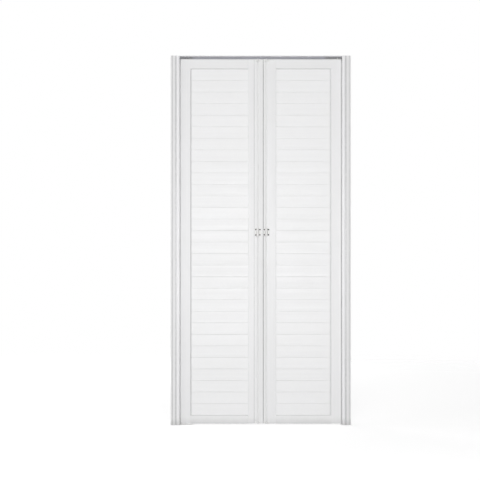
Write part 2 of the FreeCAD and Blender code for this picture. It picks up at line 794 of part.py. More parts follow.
def hinge_plate(axis, side, spans):
    """Plate of a riveted hinge, with its knuckles over the spans of z given."""
    low = hinge_level - hinge_height / 2
    high = hinge_level + hinge_height / 2
    near = axis + side * (knuckle_radius + play)
    far = axis + side * hinge_plate_reach
    plate = box(near, far, front - hinge_plate_thickness, front, low, high)
    corners = [edge for edge in plate.Edges
               if abs(edge.Vertexes[0].Y - edge.Vertexes[1].Y) > hinge_plate_thickness / 2
               and abs(edge.Vertexes[0].X - far) < play]
    plate = plate.makeFillet(hinge_plate_corner, corners)
    shapes = [plate]
    for z0, z1 in spans:
        shapes.extend(knuckle(axis, side, z0, z1))
    column = axis + side * rivet_offset
    back = front - hinge_plate_thickness
    holes = [cross_pin(rivet_radius + fit, column, z, back, front) for z in rivet_levels]
    return cut_all(join(shapes), [pin_bore(axis)] + holes)


def outer_spans():
    """Knuckles at both ends of a riveted hinge."""
    half = hinge_height / 2
    quarter = hinge_height / 4 + play / 2
    return [(hinge_level - half, hinge_level - quarter), (hinge_level + quarter, hinge_level + half)]


def middle_span():
    """Knuckle in the middle of a riveted hinge."""
    quarter = hinge_height / 4 - play / 2
    return [(hinge_level - quarter, hinge_level + quarter)]


def rivet(x, z):
    """Blind rivet through a hinge plate and the wall behind it."""
    seat = front - hinge_plate_thickness
    inside = front + profile_wall
    shank = cross_pin(rivet_radius, x, z, seat, inside)
    ball = (rivet_head_radius ** 2 + rivet_head_height ** 2) / (2 * rivet_head_height)
    centre = FreeCAD.Vector(x, seat - rivet_head_height + ball, z)
    reach = 2 * ball
    outside = box(x - reach, x + reach, seat - reach, seat, z - reach, z + reach)
    head = Part.makeSphere(ball, centre).common(outside)
    tail = cross_pin(rivet_tail_radius, x, z, inside, inside + rivet_tail_height)
    return join([shank, head, tail])


def rivets(*columns):
    """Rivets of the columns of x given, at both levels."""
    return [rivet(x, z) for x in columns for z in rivet_levels]


def hinge_pins(axis):
    """Three pins of one hinge axis: bottom, riveted hinge and top."""
    half = hinge_height / 2
    pins = [post(hinge_pin_radius, axis, axis_y, hinge_level - half, hinge_level + half)]
    for low in (leaf_bottom, leaf_top - end_knuckle_height):
        high = low + end_knuckle_height
        shank = post(hinge_pin_radius, axis, axis_y, low, high)
        head = post(pin_head_radius, axis, axis_y, high, high + pin_head_height)
        pins.append(join([shank, head]))
    return pins


def build_frame():
    """Everything that stays fixed to the opening."""
    save("left_wall_channel", wall_channel())
    save("left_jamb_cover", cut_all(jamb_cover(), tab_screw_holes()))
    save("right_wall_channel", flip_x(wall_channel()))
    save("right_jamb_cover", flip_x(jamb_cover()))
    save("left_stop_fin", stop_fin(foot_plate_thickness + slip))
    save("right_stop_fin", flip_x(stop_fin(0)))
    save("head_strip", head_strip())
    save("track", track())
    save("top_pivot_bracket", top_pivot_bracket())
    save("top_bracket_screw", top_bracket_screw())
    save("guide_catch", guide_catch())
    save("bottom_pivot_bracket", bottom_pivot_bracket())
    save("bottom_bracket_screws", *tab_screws())
    save("bottom_pivot_pin", bottom_pivot_pin())


def build_leaf(name, side, inner_edge):
    """Rails, slats, corner blocks and outer stile of one leaf."""
    outer = -side * (leaf_edge - outer_stile_width)
    inner = inner_edge - side * inner_stile_width
    x0 = min(outer, inner)
    x1 = max(outer, inner)
    save(name + "_outer_stile", outer_stile(side))
    save(name + "_top_rail", coped_rail(top_rail, side, outer, inner))
    save(name + "_bottom_rail", coped_rail(bottom_rail, side, outer, inner))
    save(name + "_slats", *slats(x0, x1))
    save(name + "_corner_blocks", *corner_blocks(x0, x1))


def build_pivot_leaf():
    """Left leaf, which turns on the pivots."""
    build_leaf("pivot_leaf", 1, left_stile_edge)
    save("pivot_leaf_inner_stile", inner_stile(left_stile_edge, -1).cut(face_groove()))
    top_plug = outer_plug(1, pivot_x, bushing_bore, spring_well() + spring_floor, spring_well())
    foot_plug = flip_z(outer_plug(1, pivot_x, bushing_bore, foot_plug_depth, foot_pin_reach))
    save("pivot_leaf_outer_plugs", top_plug, foot_plug)
    cap = leaf_knuckle_cap(left_axis, -1, left_stile_edge)
    save("pivot_leaf_knuckle_caps", cap, flip_z(cap))
    save("top_pivot_bushing", bushing(pivot_x, pivot_radius, bushing_length))
    save("bottom_pivot_bushing", flip_z(bushing(pivot_x, foot_pin_radius, foot_bushing_length)))
    save("pivot_leaf_hinge_plate", hinge_plate(left_axis, -1, outer_spans()))
    save("pivot_leaf_rivets", *rivets(left_axis - rivet_offset))
    save("top_pivot_pin", top_pivot_pin())
    save("top_pivot_spring", spring(pivot_x))


def build_strips():
    """The two strips between the leaves, and what holds them."""
    save("left_hinge_strip", left_hinge_strip())
    save("right_hinge_strip", right_hinge_strip())
    save("left_lip_seal", lip_seal(left_axis, 1))
    save("right_lip_seal", lip_seal(right_axis, -1))
    cap = strip_cap()
    save("strip_caps", cap, flip_z(cap))
    save("left_strip_hinge_plate", hinge_plate(left_axis, 1, middle_span()))
    save("right_strip_hinge_plate", hinge_plate(right_axis, -1, middle_span()))
    save("strip_rivets", *rivets(left_axis + rivet_offset, right_axis - rivet_offset))
    save("left_hinge_pins", *hinge_pins(left_axis))
    save("right_hinge_pins", *hinge_pins(right_axis))


def build_lead_leaf():
    """Right leaf, led by the guide in the track."""
    build_leaf("lead_leaf", -1, right_stile_edge)
    save("lead_leaf_inner_stile", inner_stile(right_stile_edge, 1))
    top_plug = outer_plug(-1, guide_x, bushing_bore, spring_well() + spring_floor, spring_well())
    foot_plug = flip_z(outer_plug(-1, guide_x, 0, plug_depth, 0))
    save("lead_leaf_outer_plugs", top_plug, foot_plug)
    cap = leaf_knuckle_cap(right_axis, 1, right_stile_edge)
    save("lead_leaf_knuckle_caps", cap, flip_z(cap))
    save("guide_bushing", bushing(guide_x, pivot_radius, bushing_length))
    save("lead_leaf_hinge_plate", hinge_plate(right_axis, 1, outer_spans()))
    save("lead_leaf_rivets", *rivets(right_axis + rivet_offset))
    save("guide_pin", guide_pin())
    save("guide_spring", spring(guide_x))
    save("guide_wheel", guide_wheel())


os.makedirs("parts", exist_ok=True)
build_frame()
build_pivot_leaf()
build_strips()
build_lead_leaf()
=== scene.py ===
import json
import math

import bmesh
import bpy
import numpy as np
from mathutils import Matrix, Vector
from mathutils.geometry import tessellate_polygon


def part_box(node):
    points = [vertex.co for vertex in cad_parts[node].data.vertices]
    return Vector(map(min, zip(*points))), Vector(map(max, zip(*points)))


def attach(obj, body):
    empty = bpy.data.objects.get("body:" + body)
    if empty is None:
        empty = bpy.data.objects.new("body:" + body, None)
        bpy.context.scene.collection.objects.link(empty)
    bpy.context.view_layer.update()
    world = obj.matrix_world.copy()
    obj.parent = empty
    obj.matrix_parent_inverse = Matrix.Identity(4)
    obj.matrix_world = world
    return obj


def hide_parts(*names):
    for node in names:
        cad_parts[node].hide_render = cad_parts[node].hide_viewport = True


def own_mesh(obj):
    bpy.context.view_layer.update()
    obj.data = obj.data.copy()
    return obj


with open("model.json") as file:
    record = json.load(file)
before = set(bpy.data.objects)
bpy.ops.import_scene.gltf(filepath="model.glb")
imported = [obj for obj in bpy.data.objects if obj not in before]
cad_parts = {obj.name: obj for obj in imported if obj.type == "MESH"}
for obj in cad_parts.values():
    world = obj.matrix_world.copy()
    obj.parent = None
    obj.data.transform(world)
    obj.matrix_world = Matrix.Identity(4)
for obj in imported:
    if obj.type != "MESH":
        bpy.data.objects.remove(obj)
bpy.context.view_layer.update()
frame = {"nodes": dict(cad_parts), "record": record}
bodies = frame["record"]["behaviour"]["bodies"]
bodyOfNode = {node: body for body, nodes in bodies.items() for node in nodes}

# Lengths are written in millimetres and become metres when a mesh is made.
# x runs to the right seen from the hinge face, y to the back, z up.
toMm, toMetres = 1000, 0.001


def boxInMm(node):
    # lowest and highest corner of a node at rest
    low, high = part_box(node)
    return np.array(low) * toMm, np.array(high) * toMm


def reachOf(node, axis):
    # lowest and highest value of a node along one axis: 0 is x, 1 is y, 2 is z
    return [corner[axis] for corner in boxInMm(node)]


door = {
    "jamb": 447.0, "jambHalf": 35.0,                      # face of the jamb towards the door, half its depth
    "coverLine": 466.8, "channelLine": 485.8,             # lines of painted shade on the jamb cover's sunk land and the channel's drip groove
    "leafEdge": 442.0, "leafHalf": 11.0, "wall": 2.0,     # outer edge and half thickness of a leaf, its walls
    "outerStile": 58.0, "innerStile": 50.0, "stileLine": 16.8, "slatCount": 30,
    "sticking": 4.3, "bevelArc": 0.8,                     # wide bevel round the slats, rounding of its edges
    "arris": 1.3, "hollowArc": 0.5,                       # rounding of the other edges and of the hollows
    "leftAxis": -16.5, "rightAxis": 30.5, "axisY": -17.0, "hingeGap": 6.4,
    "seam": 13.5, "seamGap": 2.0, "hingeLevel": 1060.0,
}
doorTop = reachOf("head_strip", 2)[1]
trackTop = reachOf("track", 2)[1]
leafLow, leafHigh = reachOf("pivot_leaf_outer_plugs", 2)
stileLow, stileHigh = reachOf("pivot_leaf_outer_stile", 2)
slatsHigh = reachOf("pivot_leaf_top_rail", 2)[0]
pivotX = sum(reachOf("top_pivot_pin", 0)) / 2
guideX = sum(reachOf("guide_pin", 0)) / 2
leftStileEdge = door["leftAxis"] - door["hingeGap"] / 2
rightStileEdge = door["rightAxis"] + door["hingeGap"] / 2


def anticlockwise(outline):
    # the cross products of neighbouring points add up to twice the area, below 0 if the outline is clockwise
    outline = np.asarray(outline, float)
    x, y = outline.T
    return outline if np.sum(x * np.roll(y, -1) - y * np.roll(x, -1)) > 0 else outline[::-1]


def rounded(outline, radius, steps=4):
    # every corner becomes an arc that touches both sides: it starts radius / tan(half the corner) from the
    # corner, and its points are the centre plus both end spokes, mixed by sin((1-t)a)/sin(a), sin(ta)/sin(a)
    nearlyStraight = 1e-4
    corners = np.asarray(outline, float)
    radius = np.broadcast_to(np.asarray(radius, float), len(corners))
    back = np.roll(corners, 1, 0) - corners
    ahead = np.roll(corners, -1, 0) - corners
    backLength = np.linalg.norm(back, axis=1)
    aheadLength = np.linalg.norm(ahead, axis=1)
    back = back / backLength[:, None]
    ahead = ahead / aheadLength[:, None]
    half = 0.5 * np.arccos(np.clip(np.sum(back * ahead, 1), -1, 1))
    half = np.minimum(half, math.pi / 2 - nearlyStraight)
    longest = 0.48 * np.minimum(backLength, aheadLength)    # two arcs on one side never meet
    reach = np.minimum(radius / np.tan(half), longest)
    bisector = back + ahead
    bisector = bisector / np.maximum(np.linalg.norm(bisector, axis=1), 1e-9)[:, None]
    centre = corners + bisector * (reach / np.cos(half))[:, None]
    spokeA = corners + back * reach[:, None] - centre
    spokeB = corners + ahead * reach[:, None] - centre
    turn = np.maximum(math.pi - 2 * half, nearlyStraight)[:, None]
    t = np.linspace(0, 1, steps + 1)[None, :]
    shareA = np.sin((1 - t) * turn) / np.sin(turn)
    shareB = np.sin(t * turn) / np.sin(turn)
    arcs = centre[:, None] + shareA[..., None] * spokeA[:, None] + shareB[..., None] * spokeB[:, None]
    return arcs.reshape(-1, 2)


def rectangle(u0, u1, v0, v1):
    # its four corners, anticlockwise
    return [(u0, v0), (u1, v0), (u1, v1), (u0, v1)]


def hollowOf(u0, u1, v0, v1):
    # rectangle with rounded corners
    return rounded(rectangle(u0, u1, v0, v1), door["hollowArc"], 2)


def quarterTurn(count):
    # evenly spaced angles from 0 to 90 degrees
    return np.linspace(0, math.pi / 2, count)


def lowEdge(radius, level, cut):
    # chamfer of a turned profile, from the underside of a rim to its side
    return [(radius - cut, level), (radius, level + cut)]


def highEdge(radius, level, cut):
    # chamfer from the side of a rim to its top
    return [(radius, level - cut), (radius - cut, level)]


def domeOf(radius, low, high, flat=0.0):
    # quarter of an ellipse, (cos, sin), from the rim up to a flat or a pole, without its last point
    t = quarterTurn(6)[:-1]
    return np.stack([flat + (radius - flat) * np.cos(t), low + (high - low) * np.sin(t)], 1).tolist()


def circle(centre, radius, steps):
    # centre plus radius times (cos, sin) of evenly spaced angles
    angle = np.arange(steps) * 2 * math.pi / steps
    return np.stack([centre[0] + radius * np.cos(angle), centre[1] + radius * np.sin(angle)], 1)


def endFaces(rings, starts, upwards):
    # fills the flat region between the first ring and its holes
    if len(rings) == 1:
        face = starts[0] + np.arange(len(rings[0]))
        return [list(face if upwards else face[::-1])]
    flat = np.concatenate(rings)
    number = np.concatenate([start + np.arange(len(ring)) for ring, start in zip(rings, starts)])
    triangles = np.array(tessellate_polygon([[Vector((u, v, 0)) for u, v in ring] for ring in rings]))
    a, b, c = flat[triangles[:, 0]], flat[triangles[:, 1]], flat[triangles[:, 2]]
    area = (b[:, 0] - a[:, 0]) * (c[:, 1] - a[:, 1]) - (b[:, 1] - a[:, 1]) * (c[:, 0] - a[:, 0])
    wrong = (area > 0) != upwards
    triangles[wrong] = triangles[wrong][:, ::-1]
    return number[triangles].tolist()


axisOrder = {"z": [0, 1, 2], "x": [2, 0, 1], "y": [1, 2, 0]}    # where outline u, outline v and level go


def carried(loops, levels, insets=0.0, along="z"):
    # point(k, i) = outline point i moved inwards by inset k, at level k along the axis. The first loop is the
    # outside and the rest are hollows; both ends are filled between them
    loops = [anticlockwise(loops[0])] + [anticlockwise(hollow)[::-1] for hollow in loops[1:]]
    levels = np.asarray(levels, float)
    insets = np.broadcast_to(np.asarray(insets, float), len(levels))
    points, faces, count = [], [], 0
    firsts, lasts, firstStarts, lastStarts = [], [], [], []
    for loop in loops:
        ahead = np.roll(loop, -1, 0) - loop
        ahead = ahead / np.linalg.norm(ahead, axis=1)[:, None]
        out = np.stack([ahead[:, 1], -ahead[:, 0]], 1)
        before = np.roll(out, 1, 0)
        mitre = (out + before) / (1 + np.sum(out * before, 1))[:, None]
        rings = loop[None] - insets[:, None, None] * mitre[None]
        k, n = rings.shape[:2]
        height = np.broadcast_to(levels[:, None, None], (k, n, 1))
        points.append(np.concatenate([rings, height], 2).reshape(-1, 3))
        place = count + np.arange(k * n).reshape(k, n)
        beside = np.roll(place, -1, 1)
        faces += np.stack([place[:-1], beside[:-1], beside[1:], place[1:]], -1).reshape(-1, 4).tolist()
        firsts.append(rings[0])
        lasts.append(rings[-1])
        firstStarts.append(count)
        lastStarts.append(count + (k - 1) * n)
        count += k * n
    faces += endFaces(firsts, firstStarts, False) + endFaces(lasts, lastStarts, True)
    return np.concatenate(points)[:, axisOrder[along]], faces


def turned(profile, centre, along="z", steps=40, ring=False):
    # point(k, j) = centre + radius k times (cos, sin) of angle j, at height k. A radius of 0 is one pole
    # point, and ring joins the last height to the first
    angle = np.arange(steps) * 2 * math.pi / steps
    points, rows, count = [], [], 0
    for radius, height in np.asarray(profile, float):
        size = 1 if radius == 0 else steps
        spin = angle[:size]
        points.append(np.stack([centre[0] + radius * np.cos(spin), centre[1] + radius * np.sin(spin),
                                np.full(size, height)], 1))
        rows.append(count + np.arange(size))
        count += size
    if ring:
        rows.append(rows[0])
    faces = []
    for low, high in zip(rows[:-1], rows[1:]):
        lowNext, highNext = np.roll(low, -1), np.roll(high, -1)
        if len(low) == 1:
            faces += np.stack([np.full(steps, low[0]), highNext, high], 1).tolist()
        elif len(high) == 1:
            faces += np.stack([low, lowNext, np.full(steps, high[0])], 1).tolist()
        else:
            faces += np.stack([low, lowNext, highNext, high], 1).tolist()
    return np.concatenate(points)[:, axisOrder[along]], faces


def wireTube(line, radius, steps=10):
    # point(k, j) = line point k + radius times (cos j times the spoke away from the middle - sin j times the
    # direction square to that spoke and the line)
    tangent = np.gradient(line, axis=0)
    tangent = tangent / np.linalg.norm(tangent, axis=1)[:, None]
    middle = 0.5 * (line.min(0) + line.max(0))
    spoke = (line - middle) * [1, 1, 0]
    spoke = spoke - tangent * np.sum(spoke * tangent, 1)[:, None]
    spoke = spoke / np.linalg.norm(spoke, axis=1)[:, None]
    third = np.cross(tangent, spoke)
    angle = (np.arange(steps) * 2 * math.pi / steps)[None, :, None]
    circles = np.cos(angle) * spoke[:, None] - np.sin(angle) * third[:, None]
    grid = line[:, None] + radius * circles
    place = np.arange(len(line) * steps).reshape(len(line), steps)
    beside = np.roll(place, -1, 1)
    faces = np.stack([place[:-1], place[1:], beside[1:], beside[:-1]], -1).reshape(-1, 4).tolist()
    faces += [place[0].tolist(), place[-1][::-1].tolist()]
    return grid.reshape(-1, 3), faces


smoothing = {"sharpAngle": 38, "bevelAngle": 40, "flatAngle": 1, "weld": 1e-6}    # in degrees, weld in metres


def intoMesh(name, shells, sharpAngle):
    # all shells in one mesh, in metres, smooth but for edges sharper than sharpAngle
    points, faces, count = [], [], 0
    for shellPoints, shellFaces in shells:
        points.append(shellPoints)
        faces += [[count + i for i in face] for face in shellFaces]
        count += len(shellPoints)
    mesh = bpy.data.meshes.new(name)
    mesh.from_pydata((np.concatenate(points) * toMetres).tolist(), [], faces)
    mesh.shade_smooth()
    mesh.set_sharp_from_angle(angle=math.radians(sharpAngle))
    return mesh


def intoScene(name, data):
    thing = bpy.data.objects.new(name, data)
    bpy.context.scene.collection.objects.link(thing)
    return thing


def standsFor(mesh, node, finishName):
    piece = intoScene(node + "Piece", mesh)
    mesh.materials.append(finish[finishName])
    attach(piece, bodyOfNode[node])
    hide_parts(node)
    return piece


def newPiece(node, shells, finishName, sharpAngle=smoothing["sharpAngle"]):
    # wide flat faces keep a flat look beside their roundings
    piece = standsFor(intoMesh(node + "Mesh", shells, sharpAngle), node, finishName)
    weighted = piece.modifiers.new("flatFaces", "WEIGHTED_NORMAL")
    weighted.keep_sharp = True
    return piece


def softened(node, width, finishName):
    # a merged copy of the node with its flat faces joined again and its edges rounded
    work = bmesh.new()
    work.from_mesh(frame["nodes"][node].data)
    flatAngle = math.radians(smoothing["flatAngle"])
    bmesh.ops.remove_doubles(work, verts=work.verts, dist=smoothing["weld"])
    bmesh.ops.dissolve_limit(work, angle_limit=flatAngle, verts=work.verts, edges=work.edges)
    mesh = bpy.data.meshes.new(node + "Mesh")
    work.to_mesh(mesh)
    work.free()
    mesh.shade_smooth()
    mesh.set_sharp_from_angle(angle=math.radians(smoothing["sharpAngle"]))
    piece = standsFor(mesh, node, finishName)
    bevel = piece.modifiers.new("arrises", "BEVEL")
    bevel.width = width * toMetres
    bevel.segments = 2
    bevel.limit_method = "ANGLE"
    bevel.angle_limit = math.radians(smoothing["bevelAngle"])
    bevel.harden_normals = True
    return piece


def plug(tree, socket, value):
    # a socket takes either a link or a plain value
    if isinstance(value, bpy.types.NodeSocket):
        tree.links.new(value, socket)
    else:
        socket.default_value = value


def addNode(tree, kind, settings=None, **inputs):
    # i0, i1 and so on name an input by its number, the rest by its name
    node = tree.nodes.new("ShaderNode" + kind)
    for key, value in (settings or {}).items():
        setattr(node, key, value)
    for key, value in inputs.items():
        byNumber = key[0] == "i" and key[1:].isdigit()
        plug(tree, node.inputs[int(key[1:]) if byNumber else key.replace("_", " ")], value)
    return node


def newGroup(name, outputs, **inputs):
    # every group reads Coordinates, and its other inputs are numbers or vectors with a usual value
    tree = bpy.data.node_groups.new(name, "ShaderNodeTree")
    for label, value in {"Coordinates": (0, 0, 0), **inputs}.items():
        kind = "Vector" if isinstance(value, tuple) else "Float"
        socket = tree.interface.new_socket(label, in_out="INPUT", socket_type="NodeSocket" + kind)
        socket.default_value = value
    for label in outputs:
        tree.interface.new_socket(label, in_out="OUTPUT", socket_type="NodeSocketFloat")
    return tree, tree.nodes.new("NodeGroupInput").outputs, tree.nodes.new("NodeGroupOutput").inputs


def useGroup(tree, group, **inputs):
    node = tree.nodes.new("ShaderNodeGroup")
    node.node_tree = group
    for key, value in inputs.items():
        plug(tree, node.inputs[key], value)
    return node.outputs


def calc(tree, operation, a, b=0.0):
    return addNode(tree, "Math", {"operation": operation}, i0=a, i1=b).outputs[0]


def scaled(tree, value, factor):
    return calc(tree, "MULTIPLY", value, factor)


def mapTo(tree, value, low, high, newLow, newHigh, kind="LINEAR"):
    return addNode(tree, "MapRange", {"interpolation_type": kind}, Value=value, From_Min=low, From_Max=high,
                   To_Min=newLow, To_Max=newHigh).outputs[0]


def noise(tree, place, scale, detail=2.0, roughness=0.5):
    return addNode(tree, "TexNoise", Vector=place, Scale=scale, Detail=detail, Roughness=roughness).outputs[0]


# Noise of the shared effects, and how much of it they take in.
effects = {
    "coarseStreaks": {"scale": 1.0, "detail": 3.0, "roughness": 0.55}, "coarseShare": 0.62,
    "fineStreaks": {"scale": 6.0, "detail": 2.0, "roughness": 0.6}, "fineShare": 0.38,
    "footSpecks": {"scale": 22.0, "detail": 5.0, "roughness": 0.6}, "footUneven": 0.02,    # metres up or down
    "lineSpecks": {"scale": 60.0, "detail": 4.0}, "lineThinned": 0.75,
}


def makeStreakGroup():
    # long fine lines of the extrusion die: noise stretched along the profile, coarse and fine together
    tree, given, out = newGroup("extrusionStreaks", ["Streaks", "Height"], Stretch=(90, 90, 1))
    stretched = addNode(tree, "VectorMath", {"operation": "MULTIPLY"}, i0=given["Coordinates"],
                        i1=given["Stretch"]).outputs[0]
    coarse = scaled(tree, noise(tree, stretched, **effects["coarseStreaks"]), effects["coarseShare"])
    fine = scaled(tree, noise(tree, stretched, **effects["fineStreaks"]), effects["fineShare"])
    both = calc(tree, "ADD", coarse, fine)
    tree.links.new(mapTo(tree, both, 0.3, 0.7, 0.0, 1.0), out["Streaks"])
    tree.links.new(both, out["Height"])
    return tree


def makeCloudGroup():
    # soft uneven tone and handling marks
    tree, given, out = newGroup("softClouds", ["Clouds"], Size=6.0)
    wide = noise(tree, given["Coordinates"], given["Size"], detail=4.0)
    tree.links.new(mapTo(tree, wide, 0.34, 0.7, 0.0, 1.0, "SMOOTHSTEP"), out["Clouds"])
    return tree


def makeFootGroup():
    # painted shade that darkens the surface towards the floor: 1 at the floor, 0 at Reach, with a broken
    # upper edge
    tree, given, out = newGroup("footDust", ["Dust"], Reach=0.08)
    height = addNode(tree, "SeparateXYZ", Vector=given["Coordinates"]).outputs[2]
    speck = calc(tree, "SUBTRACT", noise(tree, given["Coordinates"], **effects["footSpecks"]), 0.5)
    uneven = calc(tree, "ADD", height, scaled(tree, speck, effects["footUneven"]))
    share = calc(tree, "DIVIDE", uneven, given["Reach"])
    tree.links.new(mapTo(tree, share, 0.0, 1.0, 1.0, 0.0, "SMOOTHSTEP"), out["Dust"])
    return tree


def makeLineGroup():
    # painted shade along a groove, corner or seam: 1 where Across is within Half of Line, falling to 0 over
    # Soft, thinned by specks
    tree, given, out = newGroup("lineDust", ["Dust"], Across=0.0, Line=0.0, Half=0.002, Soft=0.001)
    away = calc(tree, "ABSOLUTE", calc(tree, "SUBTRACT", given["Across"], given["Line"]))
    share = calc(tree, "DIVIDE", calc(tree, "SUBTRACT", away, given["Half"]), given["Soft"])
    near = mapTo(tree, share, 0.0, 1.0, 1.0, 0.0, "SMOOTHSTEP")
    speck = noise(tree, given["Coordinates"], **effects["lineSpecks"])
    thinned = mapTo(tree, speck, 0.25, 0.6, effects["lineThinned"], 1.0)
    tree.links.new(calc(tree, "MULTIPLY", near, thinned), out["Dust"])
    return tree


def makeGrainGroup():
    # fine even grain of a moulded or sprayed skin
    tree, given, out = newGroup("skinGrain", ["Grain"], Size=900.0)
    tree.links.new(noise(tree, given["Coordinates"], given["Size"]), out["Grain"])
    return tree


streakGroup, cloudGroup, footGroup = makeStreakGroup(), makeCloudGroup(), makeFootGroup()
lineGroup, grainGroup = makeLineGroup(), makeGrainGroup()


def newMaterial(name, **shaderValues):
    material = bpy.data.materials.new(name)
    material.use_nodes = True
    tree = material.node_tree
    shader = tree.nodes["Principled BSDF"]
    for key, value in shaderValues.items():
        shader.inputs[key.replace("_", " ")].default_value = value
    return material, tree, shader, addNode(tree, "TexCoord").outputs["Object"]


def mixTone(tree, share, first, second):
    return addNode(tree, "Mix", {"data_type": "RGBA"}, i0=share, i6=first, i7=second).outputs[2]


def grey(level, blue=0.0):
    return (level, level, level * (1 + blue), 1.0)


def feed(tree, shader, tone, rough, height, strength, deep):
    # tone and roughness go straight in, height as a bump that is deep metres at full strength
    bump = addNode(tree, "Bump", Height=height, Strength=strength, Distance=deep)
    for socket, value in (("Base Color", tone), ("Roughness", rough), ("Normal", bump.outputs[0])):
        tree.links.new(value, shader.inputs[socket])


# All white profiles start from plainPvc. stretch is how the drawn lines run, rough the range of roughness,
# foot how strongly painted shade darkens the foot. A shade is a share of the tone, with blue added. grooves
# are lines of painted shade in grooves, corners and seams: axis, line, half width and softness in mm, depth
# of tone, and whether the line is on both sides.
plainPvc = {
    "tone": 0.835, "blue": 0.006, "stretch": (110, 110, 0.9), "streak": 0.020, "lightStreak": 0.4,
    "rough": (0.32, 0.44), "foot": 0.42, "footReach": 0.048, "footShade": (0.66, -0.006), "grooves": [],
    "grooveShade": (0.42, 0.01), "clouds": 5.0, "cloudShare": 0.35, "cloudShade": (0.975, -0.004),
    "grain": 1400.0, "grainShare": 0.25, "bump": 0.12, "bumpDeep": 0.0003,
}
slatCorner = door["leafEdge"] - door["outerStile"]
stileLine = leftStileEdge - door["stileLine"]
# Each groove entry below is painted shade: the outer stile's bevel and the slats beside it, the inner stile's
# face groove, the slats under the top rail, the seam of the hinge strips, the cover's sunk land and the
# channel's drip groove.
pvcLooks = {
    "stilePvc": {"blue": 0.008, "grooves": [(0, slatCorner + 2.0, 2.2, 1.2, 0.14, True)]},
    "linedStilePvc": {"blue": 0.008, "grooves": [(0, stileLine, 0.9, 0.6, 0.60, False)]},
    "railPvc": {"stretch": (0.9, 110, 110), "streak": 0.018, "foot": 0.62},
    "slatPvc": {"tone": 0.880, "stretch": (0.9, 110, 110), "streak": 0.018,
                "grooves": [(0, slatCorner, 2.0, 3.5, 0.42, True), (2, slatsHigh, 1.5, 2.5, 0.34, False)]},
    "stripPvc": {"blue": 0.004, "stretch": (190, 190, 1.6), "streak": 0.045, "rough": (0.36, 0.50),
                 "foot": 0.0, "grooves": [(0, door["seam"], 1.1, 0.5, 0.95, False)]},
    # painted shade: the channel's tone is lowered below the other white profiles to stand in for the shade on
    # its face
    "channelPvc": {"tone": 0.795, "stretch": (120, 120, 0.9), "streak": 0.030, "rough": (0.38, 0.52),
                   "foot": 0.60, "grooves": [(0, door["channelLine"], 1.1, 0.5, 0.60, True)]},
    # painted highlight: the cover's tone is lifted above the other white profiles to stand in for the light
    # on its bead
    "coverPvc": {"tone": 0.915, "blue": 0.014, "stretch": (120, 120, 0.9), "streak": 0.015,
                 "rough": (0.22, 0.32), "foot": 0.70,
                 "grooves": [(0, door["coverLine"], 3.6, 1.6, 0.60, True)]},
    "headPvc": {"tone": 0.840, "stretch": (0.9, 120, 120), "rough": (0.34, 0.46), "foot": 0.0},
}


def makePvc(name, ownLook):
    look = {**plainPvc, **ownLook}
    tone, blue, streak = look["tone"], look["blue"], look["streak"]

    def shadeOf(part):
        share, extraBlue = look[part]
        return grey(tone * share, extraBlue)

    material, tree, shader, place = newMaterial(name, IOR=1.53)
    lines = useGroup(tree, streakGroup, Coordinates=place, Stretch=look["stretch"])
    clouds = useGroup(tree, cloudGroup, Coordinates=place, Size=look["clouds"])
    grain = useGroup(tree, grainGroup, Coordinates=place, Size=look["grain"])
    dark, light = grey(tone * (1 - streak), blue), grey(tone * (1 + streak * look["lightStreak"]), blue)
    shade = mixTone(tree, lines["Streaks"], dark, light)
    shade = mixTone(tree, scaled(tree, clouds["Clouds"], look["cloudShare"]), shade, shadeOf("cloudShade"))
    # painted shade: the surface darkens towards the floor
    if look["foot"]:
        dustAndPaintedShade = useGroup(tree, footGroup, Coordinates=place, Reach=look["footReach"])
        shade = mixTone(tree, scaled(tree, dustAndPaintedShade["Dust"], look["foot"]), shade, shadeOf("footShade"))
    # painted shade: each groove entry darkens a groove, corner or seam
    for axis, line, half, soft, depth, bothSides in look["grooves"]:
        across = addNode(tree, "SeparateXYZ", Vector=place).outputs[axis]
        if bothSides:
            across = calc(tree, "ABSOLUTE", across)
        dustAndPaintedShade = useGroup(tree, lineGroup, Coordinates=place, Across=across, Line=line * toMetres,
                        Half=half * toMetres, Soft=soft * toMetres)
        shade = mixTone(tree, scaled(tree, dustAndPaintedShade["Dust"], depth), shade, shadeOf("grooveShade"))
    rough = mapTo(tree, lines["Streaks"], 0.0, 1.0, *look["rough"][::-1])
    height = calc(tree, "ADD", lines["Height"], scaled(tree, grain["Grain"], look["grainShare"]))
    feed(tree, shader, shade, rough, height, look["bump"], look["bumpDeep"])
    return material


# Finishes that are clouded between two colours, with a fine grain: size of the clouds and the grain, range of
# roughness, strength of the bump, and what the shader holds all over.
skinLooks = {
    "whiteNylon": {"light": (0.84, 0.84, 0.835, 1), "dark": (0.81, 0.81, 0.80, 1), "cloud": 30.0,
                   "grain": 900.0, "rough": (0.36, 0.50), "bump": 0.15, "shader": {"IOR": 1.53}},
    "hingeEnamel": {"light": (0.885, 0.883, 0.872, 1), "dark": (0.85, 0.846, 0.832, 1), "cloud": 60.0,
                    "grain": 420.0, "rough": (0.40, 0.52), "bump": 0.22,
                    "shader": {"IOR": 1.45, "Coat_Weight": 0.08, "Coat_Roughness": 0.3}},
    "darkSteel": {"light": (0.22, 0.222, 0.231, 1), "dark": (0.29, 0.292, 0.302, 1), "cloud": 90.0,
                  "grain": 700.0, "rough": (0.36, 0.52), "bump": 0.2, "shader": {"IOR": 1.5}},
    "zincSteel": {"light": (0.66, 0.67, 0.68, 1), "dark": (0.50, 0.51, 0.53, 1), "cloud": 140.0,
                  "grain": 1100.0, "rough": (0.22, 0.36), "bump": 0.1, "shader": {"Metallic": 1.0}},
    "rivetBlack": {"light": (0.006, 0.006, 0.007, 1), "dark": (0.015, 0.015, 0.016, 1), "cloud": 300.0,
                   "grain": 1500.0, "rough": (0.34, 0.50), "bump": 0.05,
                   "shader": {"IOR": 1.35, "Coat_Weight": 0.06, "Coat_Roughness": 0.2}},
}
grainDeep = 0.0002


